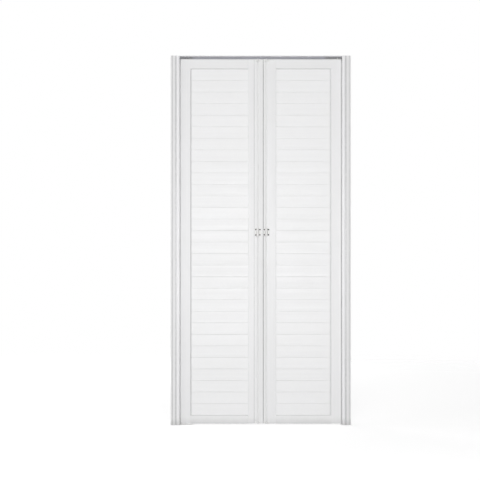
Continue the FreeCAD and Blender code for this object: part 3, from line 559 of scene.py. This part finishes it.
def makeSkin(name, look):
    material, tree, shader, place = newMaterial(name, **look["shader"])
    clouds = useGroup(tree, cloudGroup, Coordinates=place, Size=look["cloud"])
    grain = useGroup(tree, grainGroup, Coordinates=place, Size=look["grain"])
    tone = mixTone(tree, clouds["Clouds"], look["light"], look["dark"])
    uneven = scaled(tree, calc(tree, "ADD", clouds["Clouds"], grain["Grain"]), 0.5)
    feed(tree, shader, tone, mapTo(tree, uneven, 0.1, 0.8, *look["rough"]), grain["Grain"], look["bump"],
         grainDeep)
    return material


sealLook = {"finSeal": 0.90, "lipSeal": 0.88, "stretch": (300, 300, 2), "streak": (0.96, 1.02), "dustAndPaintedShade": 40.0,
            "dustShare": 0.4, "dustShade": 0.93, "rough": (0.5, 0.65), "bump": 0.2, "bumpDeep": 0.0003}


def makeSeal(name):
    # soft PVC: matt, with drawn lines and some dust
    tone, (dark, light) = sealLook[name], sealLook["streak"]
    material, tree, shader, place = newMaterial(name, IOR=1.5)
    lines = useGroup(tree, streakGroup, Coordinates=place, Stretch=sealLook["stretch"])
    dustAndPaintedShade = useGroup(tree, cloudGroup, Coordinates=place, Size=sealLook["dustAndPaintedShade"])["Clouds"]
    shade = mixTone(tree, lines["Streaks"], grey(tone * dark), grey(tone * light))
    dusty = grey(tone * sealLook["dustShade"])
    shade = mixTone(tree, scaled(tree, dustAndPaintedShade, sealLook["dustShare"]), shade, dusty)
    rough = mapTo(tree, dustAndPaintedShade, 0.0, 1.0, *sealLook["rough"])
    feed(tree, shader, shade, rough, lines["Height"], sealLook["bump"], sealLook["bumpDeep"])
    return material


# painted shade: these colours are far darker than bare aluminium and stand in for the shade on the track
# under the head strip
trackLook = {"dark": (0.198, 0.200, 0.221, 1), "light": (0.256, 0.259, 0.282, 1),
             "dull": (0.180, 0.182, 0.195, 1), "dullShare": 0.3, "dullSize": 12.0, "stretch": (2, 500, 500),
             "rough": (0.42, 0.55), "bump": 0.2, "bumpDeep": 0.0002}


def makeTrackMetal():
    # satin aluminium with drawn lines along the track and duller patches, its colour darkened as painted
    # shade
    material, tree, shader, place = newMaterial("trackAluminium", Metallic=1.0)
    lines = useGroup(tree, streakGroup, Coordinates=place, Stretch=trackLook["stretch"])
    clouds = useGroup(tree, cloudGroup, Coordinates=place, Size=trackLook["dullSize"])
    shade = mixTone(tree, lines["Streaks"], trackLook["dark"], trackLook["light"])
    dull = scaled(tree, clouds["Clouds"], trackLook["dullShare"])
    shade = mixTone(tree, dull, shade, trackLook["dull"])
    rough = mapTo(tree, lines["Streaks"], 0.0, 1.0, *trackLook["rough"][::-1])
    feed(tree, shader, shade, rough, lines["Height"], trackLook["bump"], trackLook["bumpDeep"])
    return material


finish = {name: makePvc(name, look) for name, look in pvcLooks.items()}
finish.update({name: makeSkin(name, look) for name, look in skinLooks.items()})
finish.update({name: makeSeal(name) for name in ("finSeal", "lipSeal")})
finish["trackMetal"] = makeTrackMetal()
print("finishes made:", len(finish))

jambCover = {"web": 2.5, "leg": 2.0, "tail": 483.8, "legOut": 32.3, "corner": 0.35,
             "beadRise": 2.2, "beadWidth": 11.6, "beadInset": 3.6, "beadSteps": 21}


def coverOutline(side):
    # snap cover in x, y: web towards the door, on each face a bead as an arc of a circle with a sunk land
    # beside it, and two legs that go into the channel
    half, legOut, legIn = door["jambHalf"], jambCover["legOut"], jambCover["legOut"] - jambCover["leg"]
    end, tail = -door["jamb"], -jambCover["tail"]
    beadRight = end - jambCover["beadInset"]
    beadLeft = beadRight - jambCover["beadWidth"]
    chord, rise = jambCover["beadWidth"] / 2, jambCover["beadRise"]
    radius = (chord ** 2 + rise ** 2) / (2 * rise)
    angle = np.linspace(-1, 1, jambCover["beadSteps"]) * math.asin(chord / radius)
    beadX = (beadLeft + beadRight) / 2 + radius * np.sin(angle)
    beadY = half + rise - radius * (1 - np.cos(angle))
    inside = end - jambCover["web"]
    legs = [(beadLeft, legOut), (tail, legOut), (tail, legIn), (inside, legIn), (inside, -legIn),
            (tail, -legIn)]
    outline = np.concatenate([
        [(tail, -legOut), (beadLeft, -legOut)], np.stack([beadX, -beadY], 1), [(end, -half), (end, half)],
        np.stack([beadX, beadY], 1)[::-1], legs,
    ])
    outline = rounded(outline, jambCover["corner"], 2)
    outline[:, 0] *= side
    return outline


seal = {"root": 1.2, "rootWide": 3.0, "rootArc": 0.4, "thick": 1.5, "bladeArc": 0.5, "tip": 0.55,
        "finFront": 12.2, "lipFront": -7.5}


def sealShell(anchor, tip, y, low, high):
    # soft strip in x, y: a thick root at anchor and a blade that thins to a rounded end at tip
    way = 1 if tip > anchor else -1
    middle, rootEnd = y + seal["thick"] / 2, anchor + way * seal["root"]
    wide, thin = seal["rootWide"] / 2, seal["thick"] * seal["tip"] / 2
    outline = [(anchor, middle - wide), (rootEnd, middle - wide), (rootEnd, y), (tip, middle - thin),
               (tip, middle + thin), (rootEnd, y + seal["thick"]), (rootEnd, middle + wide),
               (anchor, middle + wide)]
    root, blade = seal["rootArc"], seal["bladeArc"]
    return carried([rounded(outline, [root, root, blade, root, root, blade, root, root])], [low, high])


for sideName, side in (("left", 1), ("right", -1)):
    softened(sideName + "_wall_channel", 0.5, "channelPvc")
    newPiece(sideName + "_jamb_cover", [carried([coverOutline(side)], [0, doorTop])], "coverPvc", 30)
    finNode = sideName + "_stop_fin"
    finRoot, finTip = reachOf(finNode, 0)[::side]
    finLow = reachOf(finNode, 2)[0]
    newPiece(finNode, [sealShell(finRoot, finTip, seal["finFront"], finLow, trackTop)], "finSeal")
arrises = {
    "head_strip": (0.6, "headPvc"), "track": (0.25, "trackMetal"), "top_pivot_bracket": (0.25, "darkSteel"),
    "guide_catch": (0.25, "darkSteel"), "top_bracket_screw": (0.15, "zincSteel"),
    "bottom_pivot_bracket": (0.3, "hingeEnamel"),
}
for node, (width, finishName) in arrises.items():
    softened(node, width, finishName)
print("jambs, head and track dressed")

stile = {"grooveDeep": 10.0, "grooveHalf": 5.7, "mouthArc": 0.4, "grooveArc": 0.3, "innerBevel": 1.0,
         "lineWide": 1.4, "lineDeep": 0.9, "lineSoft": 0.3, "lineTaper": 0.1}


def stileLoops(edge, side, width, bevel):
    # stile in x, y: rounded arrises, a bevel and a groove for the slats at the far edge, a hollow behind it
    half, far = door["leafHalf"], edge + side * width
    arris, groove, lip = door["arris"], far - side * stile["grooveDeep"], stile["grooveHalf"]
    outline = [(edge, -half), (far - side * bevel, -half), (far, -half + bevel), (far, -lip), (groove, -lip),
               (groove, lip), (far, lip), (far, half - bevel), (far - side * bevel, half), (edge, half)]
    frontRadii = [arris, door["bevelArc"], door["bevelArc"], stile["mouthArc"], stile["grooveArc"]]
    wall = door["wall"]
    hollow = hollowOf(edge + side * wall, groove - side * wall, -half + wall, half - wall)
    return [anticlockwise(rounded(outline, frontRadii + frontRadii[::-1])), hollow]


def withLine(outline, line):
    # a fine channel let into the front face: six points between the two ends of the outline's front side
    half, wide, deep = door["leafHalf"], stile["lineWide"] / 2, stile["lineDeep"]
    soft, taper = stile["lineSoft"], stile["lineTaper"]
    onFront = np.isclose(outline[:, 1], -half)
    at = int(np.argmax(onFront & (outline[:, 0] < line) & (np.roll(outline[:, 0], -1) > line)))
    notch = [(line - wide - soft, -half), (line - wide, -half + soft), (line - wide + taper, -half + deep),
             (line + wide - taper, -half + deep), (line + wide, -half + soft), (line + wide + soft, -half)]
    return np.concatenate([outline[:at + 1], notch, outline[at + 1:]])


rail = {"tongue": 2.0, "tongueHigh": 6.0, "groove": 2.2, "grooveDeep": 6.4, "ribArc": 0.2}


def railShell(free, inner, outerFar, innerFar, side):
    # rail in y, z: a rounded free edge, a bevel at the slats with the slats' tongue or groove in it, and a
    # hollow. At the outer stile its end is cut to the stile's bevel: x moves by how far |y| is over it
    half, bevel, wall = door["leafHalf"], door["sticking"], door["wall"]
    up = 1 if inner > free else -1
    rib = rail["tongue"] if up > 0 else rail["groove"]
    ribEnd = inner + (rail["tongueHigh"] if up > 0 else rail["grooveDeep"])
    back = [(half, free), (half, inner - up * bevel), (half - bevel, inner), (rib, inner), (rib, ribEnd)]
    outline = back + [(-y, z) for y, z in back[::-1]]
    backRadii = [door["arris"], door["bevelArc"], door["bevelArc"], rail["ribArc"], rail["ribArc"]]
    hollowInner = inner - 2 * wall if up > 0 else ribEnd + wall
    hollow = hollowOf(-half + wall, half - wall, *sorted([free + up * 2 * wall, hollowInner]))
    loops = [rounded(outline, backRadii + backRadii[::-1]), hollow]
    points, faces = carried(loops, sorted([outerFar, innerFar]), along="x")
    atStile = np.isclose(points[:, 0], outerFar)
    points[atStile, 0] -= side * np.maximum(0, np.abs(points[atStile, 1]) - (half - bevel))
    return points, faces


slat = {"half": 5.5, "bevel": 0.65, "joint": 0.2, "reach": 9.6}


def slatShells(low, pitch, x0, x1):
    # one slat outline in y, z, with a radius for each point, lifted by whole pitches
    half, bevel, joint = slat["half"], slat["bevel"], slat["joint"]
    groove, roof = rail["groove"], rail["grooveDeep"]
    tongue, tongueTop = rail["tongue"], pitch + rail["tongueHigh"]
    outline = [
        (-half + bevel, joint), (-groove, joint), (-groove, roof), (groove, roof), (groove, joint),
        (half - bevel, joint), (half, joint + bevel), (half, pitch - bevel), (half - bevel, pitch),
        (tongue, pitch), (tongue, tongueTop), (-tongue, tongueTop), (-tongue, pitch), (-half + bevel, pitch),
        (-half, pitch - bevel), (-half, joint + bevel),
    ]
    radii = [0.2, 0.2, 0.1, 0.1, 0.2, 0.2, 0.8, 0.8, 0.2, 0.1, 0.3, 0.3, 0.1, 0.2, 0.8, 0.8]
    shape = rounded(outline, radii, 3)
    ends = [x0 - slat["reach"], x1 + slat["reach"]]
    return [carried([shape + [0, low + i * pitch]], ends, along="x") for i in range(door["slatCount"])]


def fullHeight(loops):
    # outlines carried from the lower to the upper end of the stiles
    return [carried(loops, [stileLow, stileHigh])]


def buildLeaf(name, side, innerEdge):
    outerEdge = -side * door["leafEdge"]
    outerFar = outerEdge + side * door["outerStile"]
    innerFar = innerEdge - side * door["innerStile"]
    slatsLow = reachOf(name + "_bottom_rail", 2)[1] - rail["tongueHigh"]
    pitch = (slatsHigh - slatsLow) / door["slatCount"]
    outer = stileLoops(outerEdge, side, door["outerStile"], door["sticking"])
    newPiece(name + "_outer_stile", fullHeight(outer), "stilePvc")
    inner = stileLoops(innerEdge, -side, door["innerStile"], stile["innerBevel"])
    if side > 0:
        inner[0] = withLine(inner[0], innerEdge - door["stileLine"])
    innerFinish = "linedStilePvc" if side > 0 else "stilePvc"
    newPiece(name + "_inner_stile", fullHeight(inner), innerFinish)
    for railName, free, slatEdge in (("_bottom_rail", leafLow, slatsLow), ("_top_rail", leafHigh, slatsHigh)):
        shell = railShell(free, slatEdge, outerFar, innerFar, side)
        newPiece(name + railName, [shell], "railPvc")
    newPiece(name + "_slats", slatShells(slatsLow, pitch, *sorted([outerFar, innerFar])), "slatPvc", 25)
    softened(name + "_outer_plugs", 0.4, "whiteNylon")
    softened(name + "_knuckle_caps", 0.4, "whiteNylon")
    blocks = frame["nodes"][name + "_corner_blocks"].data.materials    # hidden in the rails, left plain
    blocks.clear()
    blocks.append(finish["whiteNylon"])


buildLeaf("pivot_leaf", 1, leftStileEdge)
buildLeaf("lead_leaf", -1, rightStileEdge)
print("leaves built")

strip = {"neck": 1.5, "head": 3.5, "barbLong": 4.0, "barbPlay": 0.2, "mouth": 1.7, "ribArc": 0.3,
         "pointArc": 0.4}


def leftStripLoops():
    # hollow strip in x, y with an arrow rib that reaches through the seam into the other strip
    half, wall, arris = door["leafHalf"], door["wall"], door["arris"]
    neck, head = strip["neck"], strip["head"]
    x0 = door["leftAxis"] + door["hingeGap"] / 2
    x1 = door["seam"] - door["seamGap"] / 2
    barb = x1 + door["seamGap"] + wall + strip["barbPlay"]
    tip = barb + strip["barbLong"]
    outline = [(x0, -half), (x1, -half), (x1, -neck), (barb, -neck), (barb, -head), (tip, -neck / 2),
               (tip, neck / 2), (barb, head), (barb, neck), (x1, neck), (x1, half), (x0, half)]
    rib = strip["ribArc"]
    frontRadii = [arris, arris, rib, rib, rib, strip["pointArc"]]
    hollow = hollowOf(x0 + wall, x1 - wall, -half + wall, half - wall)
    return [rounded(outline, frontRadii + frontRadii[::-1]), hollow]


def rightStripLoops():
    # the other strip: its wall at the seam is open at the rib, so outside and hollow are one line
    half, wall, mouth, arris = door["leafHalf"], door["wall"], strip["mouth"], door["arris"]
    x0 = door["seam"] + door["seamGap"] / 2
    x1 = door["rightAxis"] - door["hingeGap"] / 2
    inner = half - wall
    outline = [(x0, -half), (x1, -half), (x1, half), (x0, half), (x0, mouth), (x0 + wall, mouth),
               (x0 + wall, inner), (x1 - wall, inner), (x1 - wall, -inner), (x0 + wall, -inner),
               (x0 + wall, -mouth), (x0, -mouth)]
    rib, point = [strip["ribArc"]] * 2, [strip["pointArc"]] * 4
    return [rounded(outline, [arris] * 4 + rib + point + rib)]


newPiece("left_hinge_strip", fullHeight(leftStripLoops()), "stripPvc")
newPiece("right_hinge_strip", fullHeight(rightStripLoops()), "stripPvc")
for node, side in (("left_lip_seal", -1), ("right_lip_seal", 1)):
    lipRoot, lipTip = reachOf(node, 0)[::side]
    newPiece(node, [sealShell(lipRoot, lipTip, seal["lipFront"], stileLow, stileHigh)], "lipSeal")
softened("strip_caps", 0.4, "whiteNylon")
print("hinge strips in")

# overlap is the barrel's foot in the plate, and a rim gives depths and how far the edge is drawn in there
hinge = {"radius": 6.0, "bore": 2.05, "thick": 3.0, "reach": 16.6, "corner": 3.0, "nearCorner": 0.15,
         "height": 42.0, "play": 0.3, "overlap": 1.0, "plateRim": [(0, 0.6), (0.15, 0.18), (0.6, 0)],
         "knuckleRim": [(0, 0.4), (0.15, 0.12), (0.5, 0)]}
hingeLow = door["hingeLevel"] - hinge["height"] / 2
hingeHigh = door["hingeLevel"] + hinge["height"] / 2


def barrelOutline(axis, side):
    # circle round the axis from the leaf's face, over the front and back to the plate, closed by its foot
    radius, y = hinge["radius"], door["axisY"]
    plateFront = -door["leafHalf"] - hinge["thick"]
    start = math.asin((plateFront - y) / radius)
    sweep = np.linspace(math.pi / 2, start + 2 * math.pi, 40)
    ring = np.stack([side * radius * np.cos(sweep), y + radius * np.sin(sweep)], 1)
    far = side * (radius + hinge["play"] + hinge["overlap"])
    outline = np.concatenate([ring, [(far, plateFront), (far, y + radius)]])
    outline[:, 0] += axis
    return outline


def plateShells(axis, side, spans):
    # plate in z, x with two rounded corners, carried from its softened front rim back to the leaf; knuckles
    # with a bore stand over the spans of z
    near, far = axis + side * (hinge["radius"] + hinge["play"]), axis + side * hinge["reach"]
    back = -door["leafHalf"]
    front = back - hinge["thick"]
    outline = anticlockwise([(hingeLow, near), (hingeHigh, near), (hingeHigh, far), (hingeLow, far)])
    radii = [hinge["corner"] if x == far else hinge["nearCorner"] for z, x in outline]
    depths, insets = zip(*hinge["plateRim"])
    levels = [front + depth for depth in depths] + [back]
    shells = [carried([rounded(outline, radii, 6)], levels, [*insets, 0], along="y")]
    depths, insets = zip(*hinge["knuckleRim"])
    loops = [barrelOutline(axis, side), circle((axis, door["axisY"]), hinge["bore"], 24)]
    for z0, z1 in spans:
        levels = [z0 + depth for depth in depths] + [z1 - depth for depth in depths[::-1]]
        shells.append(carried(loops, levels, insets + insets[::-1]))
    return shells


quarter, endPlay = hinge["height"] / 4, hinge["play"] / 2
middleSpan = [(door["hingeLevel"] - quarter + endPlay, door["hingeLevel"] + quarter - endPlay)]
outerSpans = [(hingeLow, hingeLow + quarter - endPlay), (hingeHigh - quarter + endPlay, hingeHigh)]
plates = {
    "pivot_leaf_hinge_plate": (door["leftAxis"], -1, outerSpans),
    "left_strip_hinge_plate": (door["leftAxis"], 1, middleSpan),
    "right_strip_hinge_plate": (door["rightAxis"], -1, middleSpan),
    "lead_leaf_hinge_plate": (door["rightAxis"], 1, outerSpans),
}
for node, (axis, side, spans) in plates.items():
    newPiece(node, plateShells(axis, side, spans), "hingeEnamel")

rivet = {"shank": 2.0, "head": 3.6, "rise": 2.0, "tail": 2.4, "tailLong": 2.5, "tailEdge": 0.5,
         "fullness": 0.9, "offset": 11.5, "pitch": 29.2}


def rivetShell(x, z):
    # turned along y: domed head with radius sin(t) and height cos(t)^fullness, shank and set tail
    seat = -door["leafHalf"] - hinge["thick"]
    inside = -door["leafHalf"] + door["wall"]
    head, shank, tail, edge = (rivet[part] for part in ("head", "shank", "tail", "tailEdge"))
    end = inside + rivet["tailLong"]
    t = quarterTurn(10)[:-1]
    dome = np.stack([head * np.sin(t), seat - rivet["rise"] * np.cos(t) ** rivet["fullness"]], 1)
    profile = [*dome, (head, seat), (shank, seat), (shank, inside), (tail, inside),
               *highEdge(tail, end, edge), (0, end)]
    return turned(profile, (z, x), along="y", steps=32)


rivetLevels = [door["hingeLevel"] - rivet["pitch"] / 2, door["hingeLevel"] + rivet["pitch"] / 2]
rivetColumns = {
    "pivot_leaf_rivets": [door["leftAxis"] - rivet["offset"]],
    "strip_rivets": [door["leftAxis"] + rivet["offset"], door["rightAxis"] - rivet["offset"]],
    "lead_leaf_rivets": [door["rightAxis"] + rivet["offset"]],
}
for node, columns in rivetColumns.items():
    newPiece(node, [rivetShell(x, z) for x in columns for z in rivetLevels], "rivetBlack")

hingePin = {"radius": 2.0, "chamfer": 0.4, "head": 3.4, "headHigh": 1.2, "headRim": 0.3, "endHigh": 14.0}


def pinShells(axis):
    # three pins turned along z; those of the end hinges have a domed head
    at, r, c, head = (axis, door["axisY"]), hingePin["radius"], hingePin["chamfer"], hingePin["head"]
    middle = [(0, hingeLow), *lowEdge(r, hingeLow, c), *highEdge(r, hingeHigh, c), (0, hingeHigh)]
    shells = [turned(middle, at, steps=24)]
    for bottom in (leafLow, leafHigh - hingePin["endHigh"]):
        top = bottom + hingePin["endHigh"]
        rim, peak = top + hingePin["headRim"], top + hingePin["headHigh"]
        profile = [(0, bottom), *lowEdge(r, bottom, c), (r, top), (head, top), *domeOf(head, rim, peak),
                   (0, peak)]
        shells.append(turned(profile, at, steps=28))
    return shells


newPiece("left_hinge_pins", pinShells(door["leftAxis"]), "zincSteel")
newPiece("right_hinge_pins", pinShells(door["rightAxis"]), "zincSteel")
print("hinges riveted")

bushing = {"sleeve": 6.9, "flange": 8.6, "flangeThick": 1.2, "play": 0.05, "sleeveEdge": 0.3,
           "flangeEdge": 0.25, "boreEdge": 0.5}
sprungPin = {"radius": 4.0, "collar": 6.5, "collarHigh": 3.0, "collarEdge": 0.3, "tail": 36.0,
             "tailEdge": 0.6, "topEdge": 0.8, "topTravel": 12.0, "guideTravel": 2.2}
guide = {"shoulder": 6.0, "shoulderHigh": 1.3, "shoulderEdge": 0.3, "head": 6.0, "headHigh": 1.6,
         "headRim": 0.4, "gap": 0.2}
wheel = {"tread": 8.5, "rim": 1.0, "boreEdge": 0.3, "grooveTop": (5.6, 7.2), "grooveFloor": (5.9, 6.9),
         "grooveDeep": 0.4}
footPin = {"radius": 5.0, "lowEdge": 0.6, "topEdge": 1.0, "across": 13.0, "collarLow": 4.0,
           "collarEdge": 0.3, "leafGap": 0.2}


def bushingShell(node, bore):
    # ring turned along z: bore, sleeve and flange with small chamfers; a bottom bushing is the mirror image
    low, high = boxInMm(node)
    centre = (low[:2] + high[:2]) / 2
    z0, z1 = low[2], high[2]
    sleeve, flange, seat = bushing["sleeve"], bushing["flange"], z1 - bushing["flangeThick"]
    c, mouth = bushing["sleeveEdge"], bushing["boreEdge"]
    profile = np.array([(bore + c, z0), *lowEdge(sleeve, z0, c), (sleeve, seat), (flange, seat),
                        *highEdge(flange, z1, bushing["flangeEdge"]), (bore + mouth, z1), (bore, z1 - mouth),
                        (bore, z0 + c)])
    if z0 < door["hingeLevel"]:
        profile = np.stack([profile[:, 0], z0 + z1 - profile[:, 1]], 1)[::-1]
    return turned(profile, centre, ring=True)


def pinShell(node, x, top):
    # turned along z: chamfered shank with a collar, then the points of its top end
    low = reachOf(node, 2)[0]
    r, collar, edge = sprungPin["radius"], sprungPin["collar"], sprungPin["collarEdge"]
    collarLow = low + sprungPin["tail"]
    collarHigh = collarLow + sprungPin["collarHigh"]
    profile = [(0, low), *lowEdge(r, low, sprungPin["tailEdge"]), (r, collarLow),
               *lowEdge(collar, collarLow, edge), *highEdge(collar, collarHigh, edge), (r, collarHigh), *top]
    return turned(profile, (x, 0))


def guideTop():
    # shoulder under the wheel, shank through it and a domed head over it
    wheelLow, wheelHigh = reachOf("guide_wheel", 2)
    r, gap, shoulder, head = sprungPin["radius"], guide["gap"], guide["shoulder"], guide["head"]
    low, high = wheelLow - gap - guide["shoulderHigh"], wheelLow - gap
    headLow, headHigh = wheelHigh + gap, wheelHigh + gap + guide["headHigh"]
    return [(r, low), *lowEdge(shoulder, low, guide["shoulderEdge"]), (shoulder, high), (r, high),
            (r, headLow), (head, headLow), *domeOf(head, headLow + guide["headRim"], headHigh), (0, headHigh)]


def wheelShell():
    # ring turned along z: hub and tread, a shallow groove between them on both faces, quarter arcs as rims
    low, high = reachOf("guide_wheel", 2)
    bore, tread, rim = sprungPin["radius"] + bushing["play"], wheel["tread"], wheel["rim"]
    (topIn, topOut), (floorIn, floorOut) = wheel["grooveTop"], wheel["grooveFloor"]
    edge, grooveFloor = wheel["boreEdge"], low + wheel["grooveDeep"]
    t = quarterTurn(5)
    arc = np.stack([tread - rim + rim * np.sin(t), low + rim - rim * np.cos(t)], 1)
    half = np.array([(bore, low + edge), (bore + edge, low), (topIn, low), (floorIn, grooveFloor),
                     (floorOut, grooveFloor), (topOut, low), *arc])
    mirrored = np.stack([half[:, 0], low + high - half[:, 1]], 1)[::-1]
    return turned(np.concatenate([half, mirrored]), (guideX, 0), ring=True, steps=48)


spring = {"turns": 9, "closed": 0.8, "wire": 0.7, "radius": 5.5, "stepsPerTurn": 28}


def springShell(node, x):
    # tube along a helix: the angle grows evenly, the height only between the closed coils at both ends
    low, high = reachOf(node, 2)
    turns, closed, wire = spring["turns"], spring["closed"], spring["wire"]
    turn = np.linspace(0, turns, turns * spring["stepsPerTurn"] + 1)
    share = np.clip((turn - closed) / (turns - 2 * closed), 0, 1)
    height = low + wire + (high - low - 2 * wire) * share
    angle = turn * 2 * math.pi
    line = np.stack([x + spring["radius"] * np.cos(angle), spring["radius"] * np.sin(angle), height], 1)
    return wireTube(line, wire)


def footPinShells():
    # chamfered pin turned along z, and a hexagon collar carried up between floor bracket and leaf
    low, high = reachOf("bottom_pivot_pin", 2)
    r, c = footPin["radius"], footPin["collarEdge"]
    z0, z1 = footPin["collarLow"], leafLow - footPin["leafGap"]
    shank = [(0, low), *lowEdge(r, low, footPin["lowEdge"]), *highEdge(r, high, footPin["topEdge"]),
             (0, high)]
    hexagon = circle((pivotX, 0), footPin["across"] / 2 / math.cos(math.pi / 6), 6)
    collar = carried([hexagon, circle((pivotX, 0), r, 36)], [z0, z0 + c, z1 - c, z1], [c, 0, 0, c])
    return [turned(shank, (pivotX, 0)), collar]


tabScrew = {"shank": 2.0, "head": 4.0, "headHigh": 1.2, "headRim": 0.3, "levels": (18.0, 36.0), "socket": 1.5,
            "socketWall": (0.3, 0.8), "socketDeep": 1.0, "tip": (0.4, 0.1), "tipLong": 1.6, "neck": 1.0,
            "pitch": 0.8, "threadDeep": 0.45}


def tabScrewShells():
    # turned along x: thread crests as a saw-tooth profile, a low domed head and a round socket in it
    end, peak = reachOf("bottom_bracket_screws", 0)
    r, head, socket = tabScrew["shank"], tabScrew["head"], tabScrew["socket"]
    seat, pitch, (taper, wallDeep) = peak - tabScrew["headHigh"], tabScrew["pitch"], tabScrew["socketWall"]
    crest = np.arange(end + tabScrew["tipLong"], seat - tabScrew["neck"], pitch)
    thread = np.stack([np.tile([r - tabScrew["threadDeep"], r], len(crest)),
                       np.repeat(crest, 2) + np.tile([0, pitch / 2], len(crest))], 1)
    tipRadius, tipHigh = tabScrew["tip"]
    profile = [(0, end), (tipRadius, end + tipHigh), *thread, (r, seat - pitch / 2), (r, seat), (head, seat),
               *domeOf(head, seat + tabScrew["headRim"], peak, socket), (socket, peak),
               (socket - taper, peak - wallDeep), (0, peak - tabScrew["socketDeep"])]
    return [turned(profile, (0, z), along="x", steps=28) for z in tabScrew["levels"]]


pinTop = reachOf("top_pivot_pin", 2)[1]
pinRadius = sprungPin["radius"]
topEnd = [*highEdge(pinRadius, pinTop, sprungPin["topEdge"]), (0, pinTop)]
newPiece("top_pivot_pin", [pinShell("top_pivot_pin", pivotX, topEnd)], "zincSteel")
newPiece("guide_pin", [pinShell("guide_pin", guideX, guideTop())], "zincSteel")
newPiece("guide_wheel", [wheelShell()], "whiteNylon")
newPiece("bottom_pivot_pin", footPinShells(), "zincSteel")
newPiece("bottom_bracket_screws", tabScrewShells(), "zincSteel")
for node, pinSize in (("top_pivot_bushing", pinRadius), ("guide_bushing", pinRadius),
                      ("bottom_pivot_bushing", footPin["radius"])):
    newPiece(node, [bushingShell(node, pinSize + bushing["play"])], "whiteNylon")
for node, x, joint, travel in (("top_pivot_spring", pivotX, "top_pin_travel", sprungPin["topTravel"]),
                               ("guide_spring", guideX, "guide_pin_travel", sprungPin["guideTravel"])):
    piece = newPiece(node, [springShell(node, x)], "zincSteel", 60)
    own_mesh(piece)
print("pivots, guide and springs in")

# Lengths are in metres here. glow is added where the floor is seen, and from thinFrom to thinTo it thins out.
studio = {"floorTone": 0.86, "floorRough": 0.9, "floorReach": 14.0, "glow": 0.50, "thinFrom": 3.2,
          "thinTo": 6.4, "worldLevel": 0.38}


def seenOr(tree, unseen, seen):
    # one value for rays from the camera, a mirror or glass, another for light
    path = addNode(tree, "LightPath").outputs
    mirrored = calc(tree, "MAXIMUM", path["Is Glossy Ray"], path["Is Transmission Ray"])
    return mapTo(tree, calc(tree, "MAXIMUM", path["Is Camera Ray"], mirrored), 0.0, 1.0, unseen, seen)


def makeStage():
    # pale floor, lifted to white where it is seen or mirrored; the shadow on it is the lamps' own, and past
    # their reach it thins out into the white world
    material, tree, shader, place = newMaterial("paleFloor", Roughness=studio["floorRough"],
                                                Specular_IOR_Level=0.0)
    shader.inputs["Base Color"].default_value = grey(studio["floorTone"])
    glow = addNode(tree, "Emission", Color=(1, 1, 1, 1), Strength=seenOr(tree, 0.0, studio["glow"]))
    total = addNode(tree, "AddShader", i0=shader.outputs[0], i1=glow.outputs[0])
    distance = addNode(tree, "VectorMath", {"operation": "LENGTH"}, i0=place).outputs["Value"]
    thinned = mapTo(tree, distance, studio["thinFrom"], studio["thinTo"], 0.0, 1.0, "SMOOTHSTEP")
    clear = addNode(tree, "BsdfTransparent")
    faded = addNode(tree, "MixShader", i0=thinned, i1=total.outputs[0], i2=clear.outputs[0])
    tree.links.new(faded.outputs[0], tree.nodes["Material Output"].inputs["Surface"])
    mesh = bpy.data.meshes.new("floorMesh")
    reach = studio["floorReach"]
    corners = [(x, y, 0) for x, y in rectangle(-reach, reach, -reach, reach)]
    mesh.from_pydata(corners, [], [(0, 1, 2, 3)])
    mesh.materials.append(material)
    floor = intoScene("floor", mesh)


def makeWorld():
    # white where it is seen or mirrored, worldLevel as light
    world = bpy.data.worlds.new("studio")
    world.use_nodes = True
    tree = world.node_tree
    background = tree.nodes["Background"]
    background.inputs["Color"].default_value = (1, 1, 1, 1)
    tree.links.new(seenOr(tree, studio["worldLevel"], 1.0), background.inputs["Strength"])
    bpy.context.scene.world = world


lamps = {
    "frontLamp": {"place": (0.0, -7.0, 0.9), "target": (0, 0, 0.7), "size": (1.2, 1.2), "watts": 134},
    "leftLamp": {"place": (-5.5, -4.0, 1.9), "target": (0, 0, 1.1), "size": (1.6, 1.6), "watts": 40},
    "highLamp": {"place": (0.0, -6.4, 5.0), "target": (0, 0, 0.6), "size": (2.4, 1.2), "watts": 72},
    "backLamp": {"place": (-3.0, 6.0, 1.3), "target": (0, 0, 1.0), "size": (2.0, 1.6), "watts": 170},
}


def addLamp(name, place, target, size, watts):
    light = bpy.data.lights.new(name, "AREA")
    light.shape = "RECTANGLE"
    light.size, light.size_y = size
    light.energy = watts
    lamp = intoScene(name, light)
    lamp.location = place
    lamp.rotation_euler = (Vector(target) - Vector(place)).to_track_quat("-Z", "Y").to_euler()


# pixelSize is in metres at the jambs' front face. middleX and middleZ lead from the middle of the door's
# foot to the middle of the view, in pixels.
view = {"lens": 135.0, "sensor": 36.0, "pixels": 480, "pixelSize": 0.00549, "middleX": -20.85,
        "middleZ": 185.3, "farthest": 60}


def addCamera():
    # square on, at the distance where the sensor takes in all pixels
    data = bpy.data.cameras.new("camera")
    data.lens, data.sensor_width = view["lens"], view["sensor"]
    distance = view["pixels"] * view["pixelSize"] * view["lens"] / view["sensor"]
    camera = intoScene("camera", data)
    camera.location = (view["middleX"] * view["pixelSize"], -door["jambHalf"] * toMetres - distance,
                       view["middleZ"] * view["pixelSize"])
    camera.rotation_euler = (math.pi / 2, 0, 0)
    data.clip_end = view["farthest"]
    bpy.context.scene.camera = camera


makeStage()
makeWorld()
for name, values in lamps.items():
    addLamp(name, **values)
addCamera()
bpy.context.scene.view_settings.view_transform = "Standard"
print("stage, lamps and camera set")
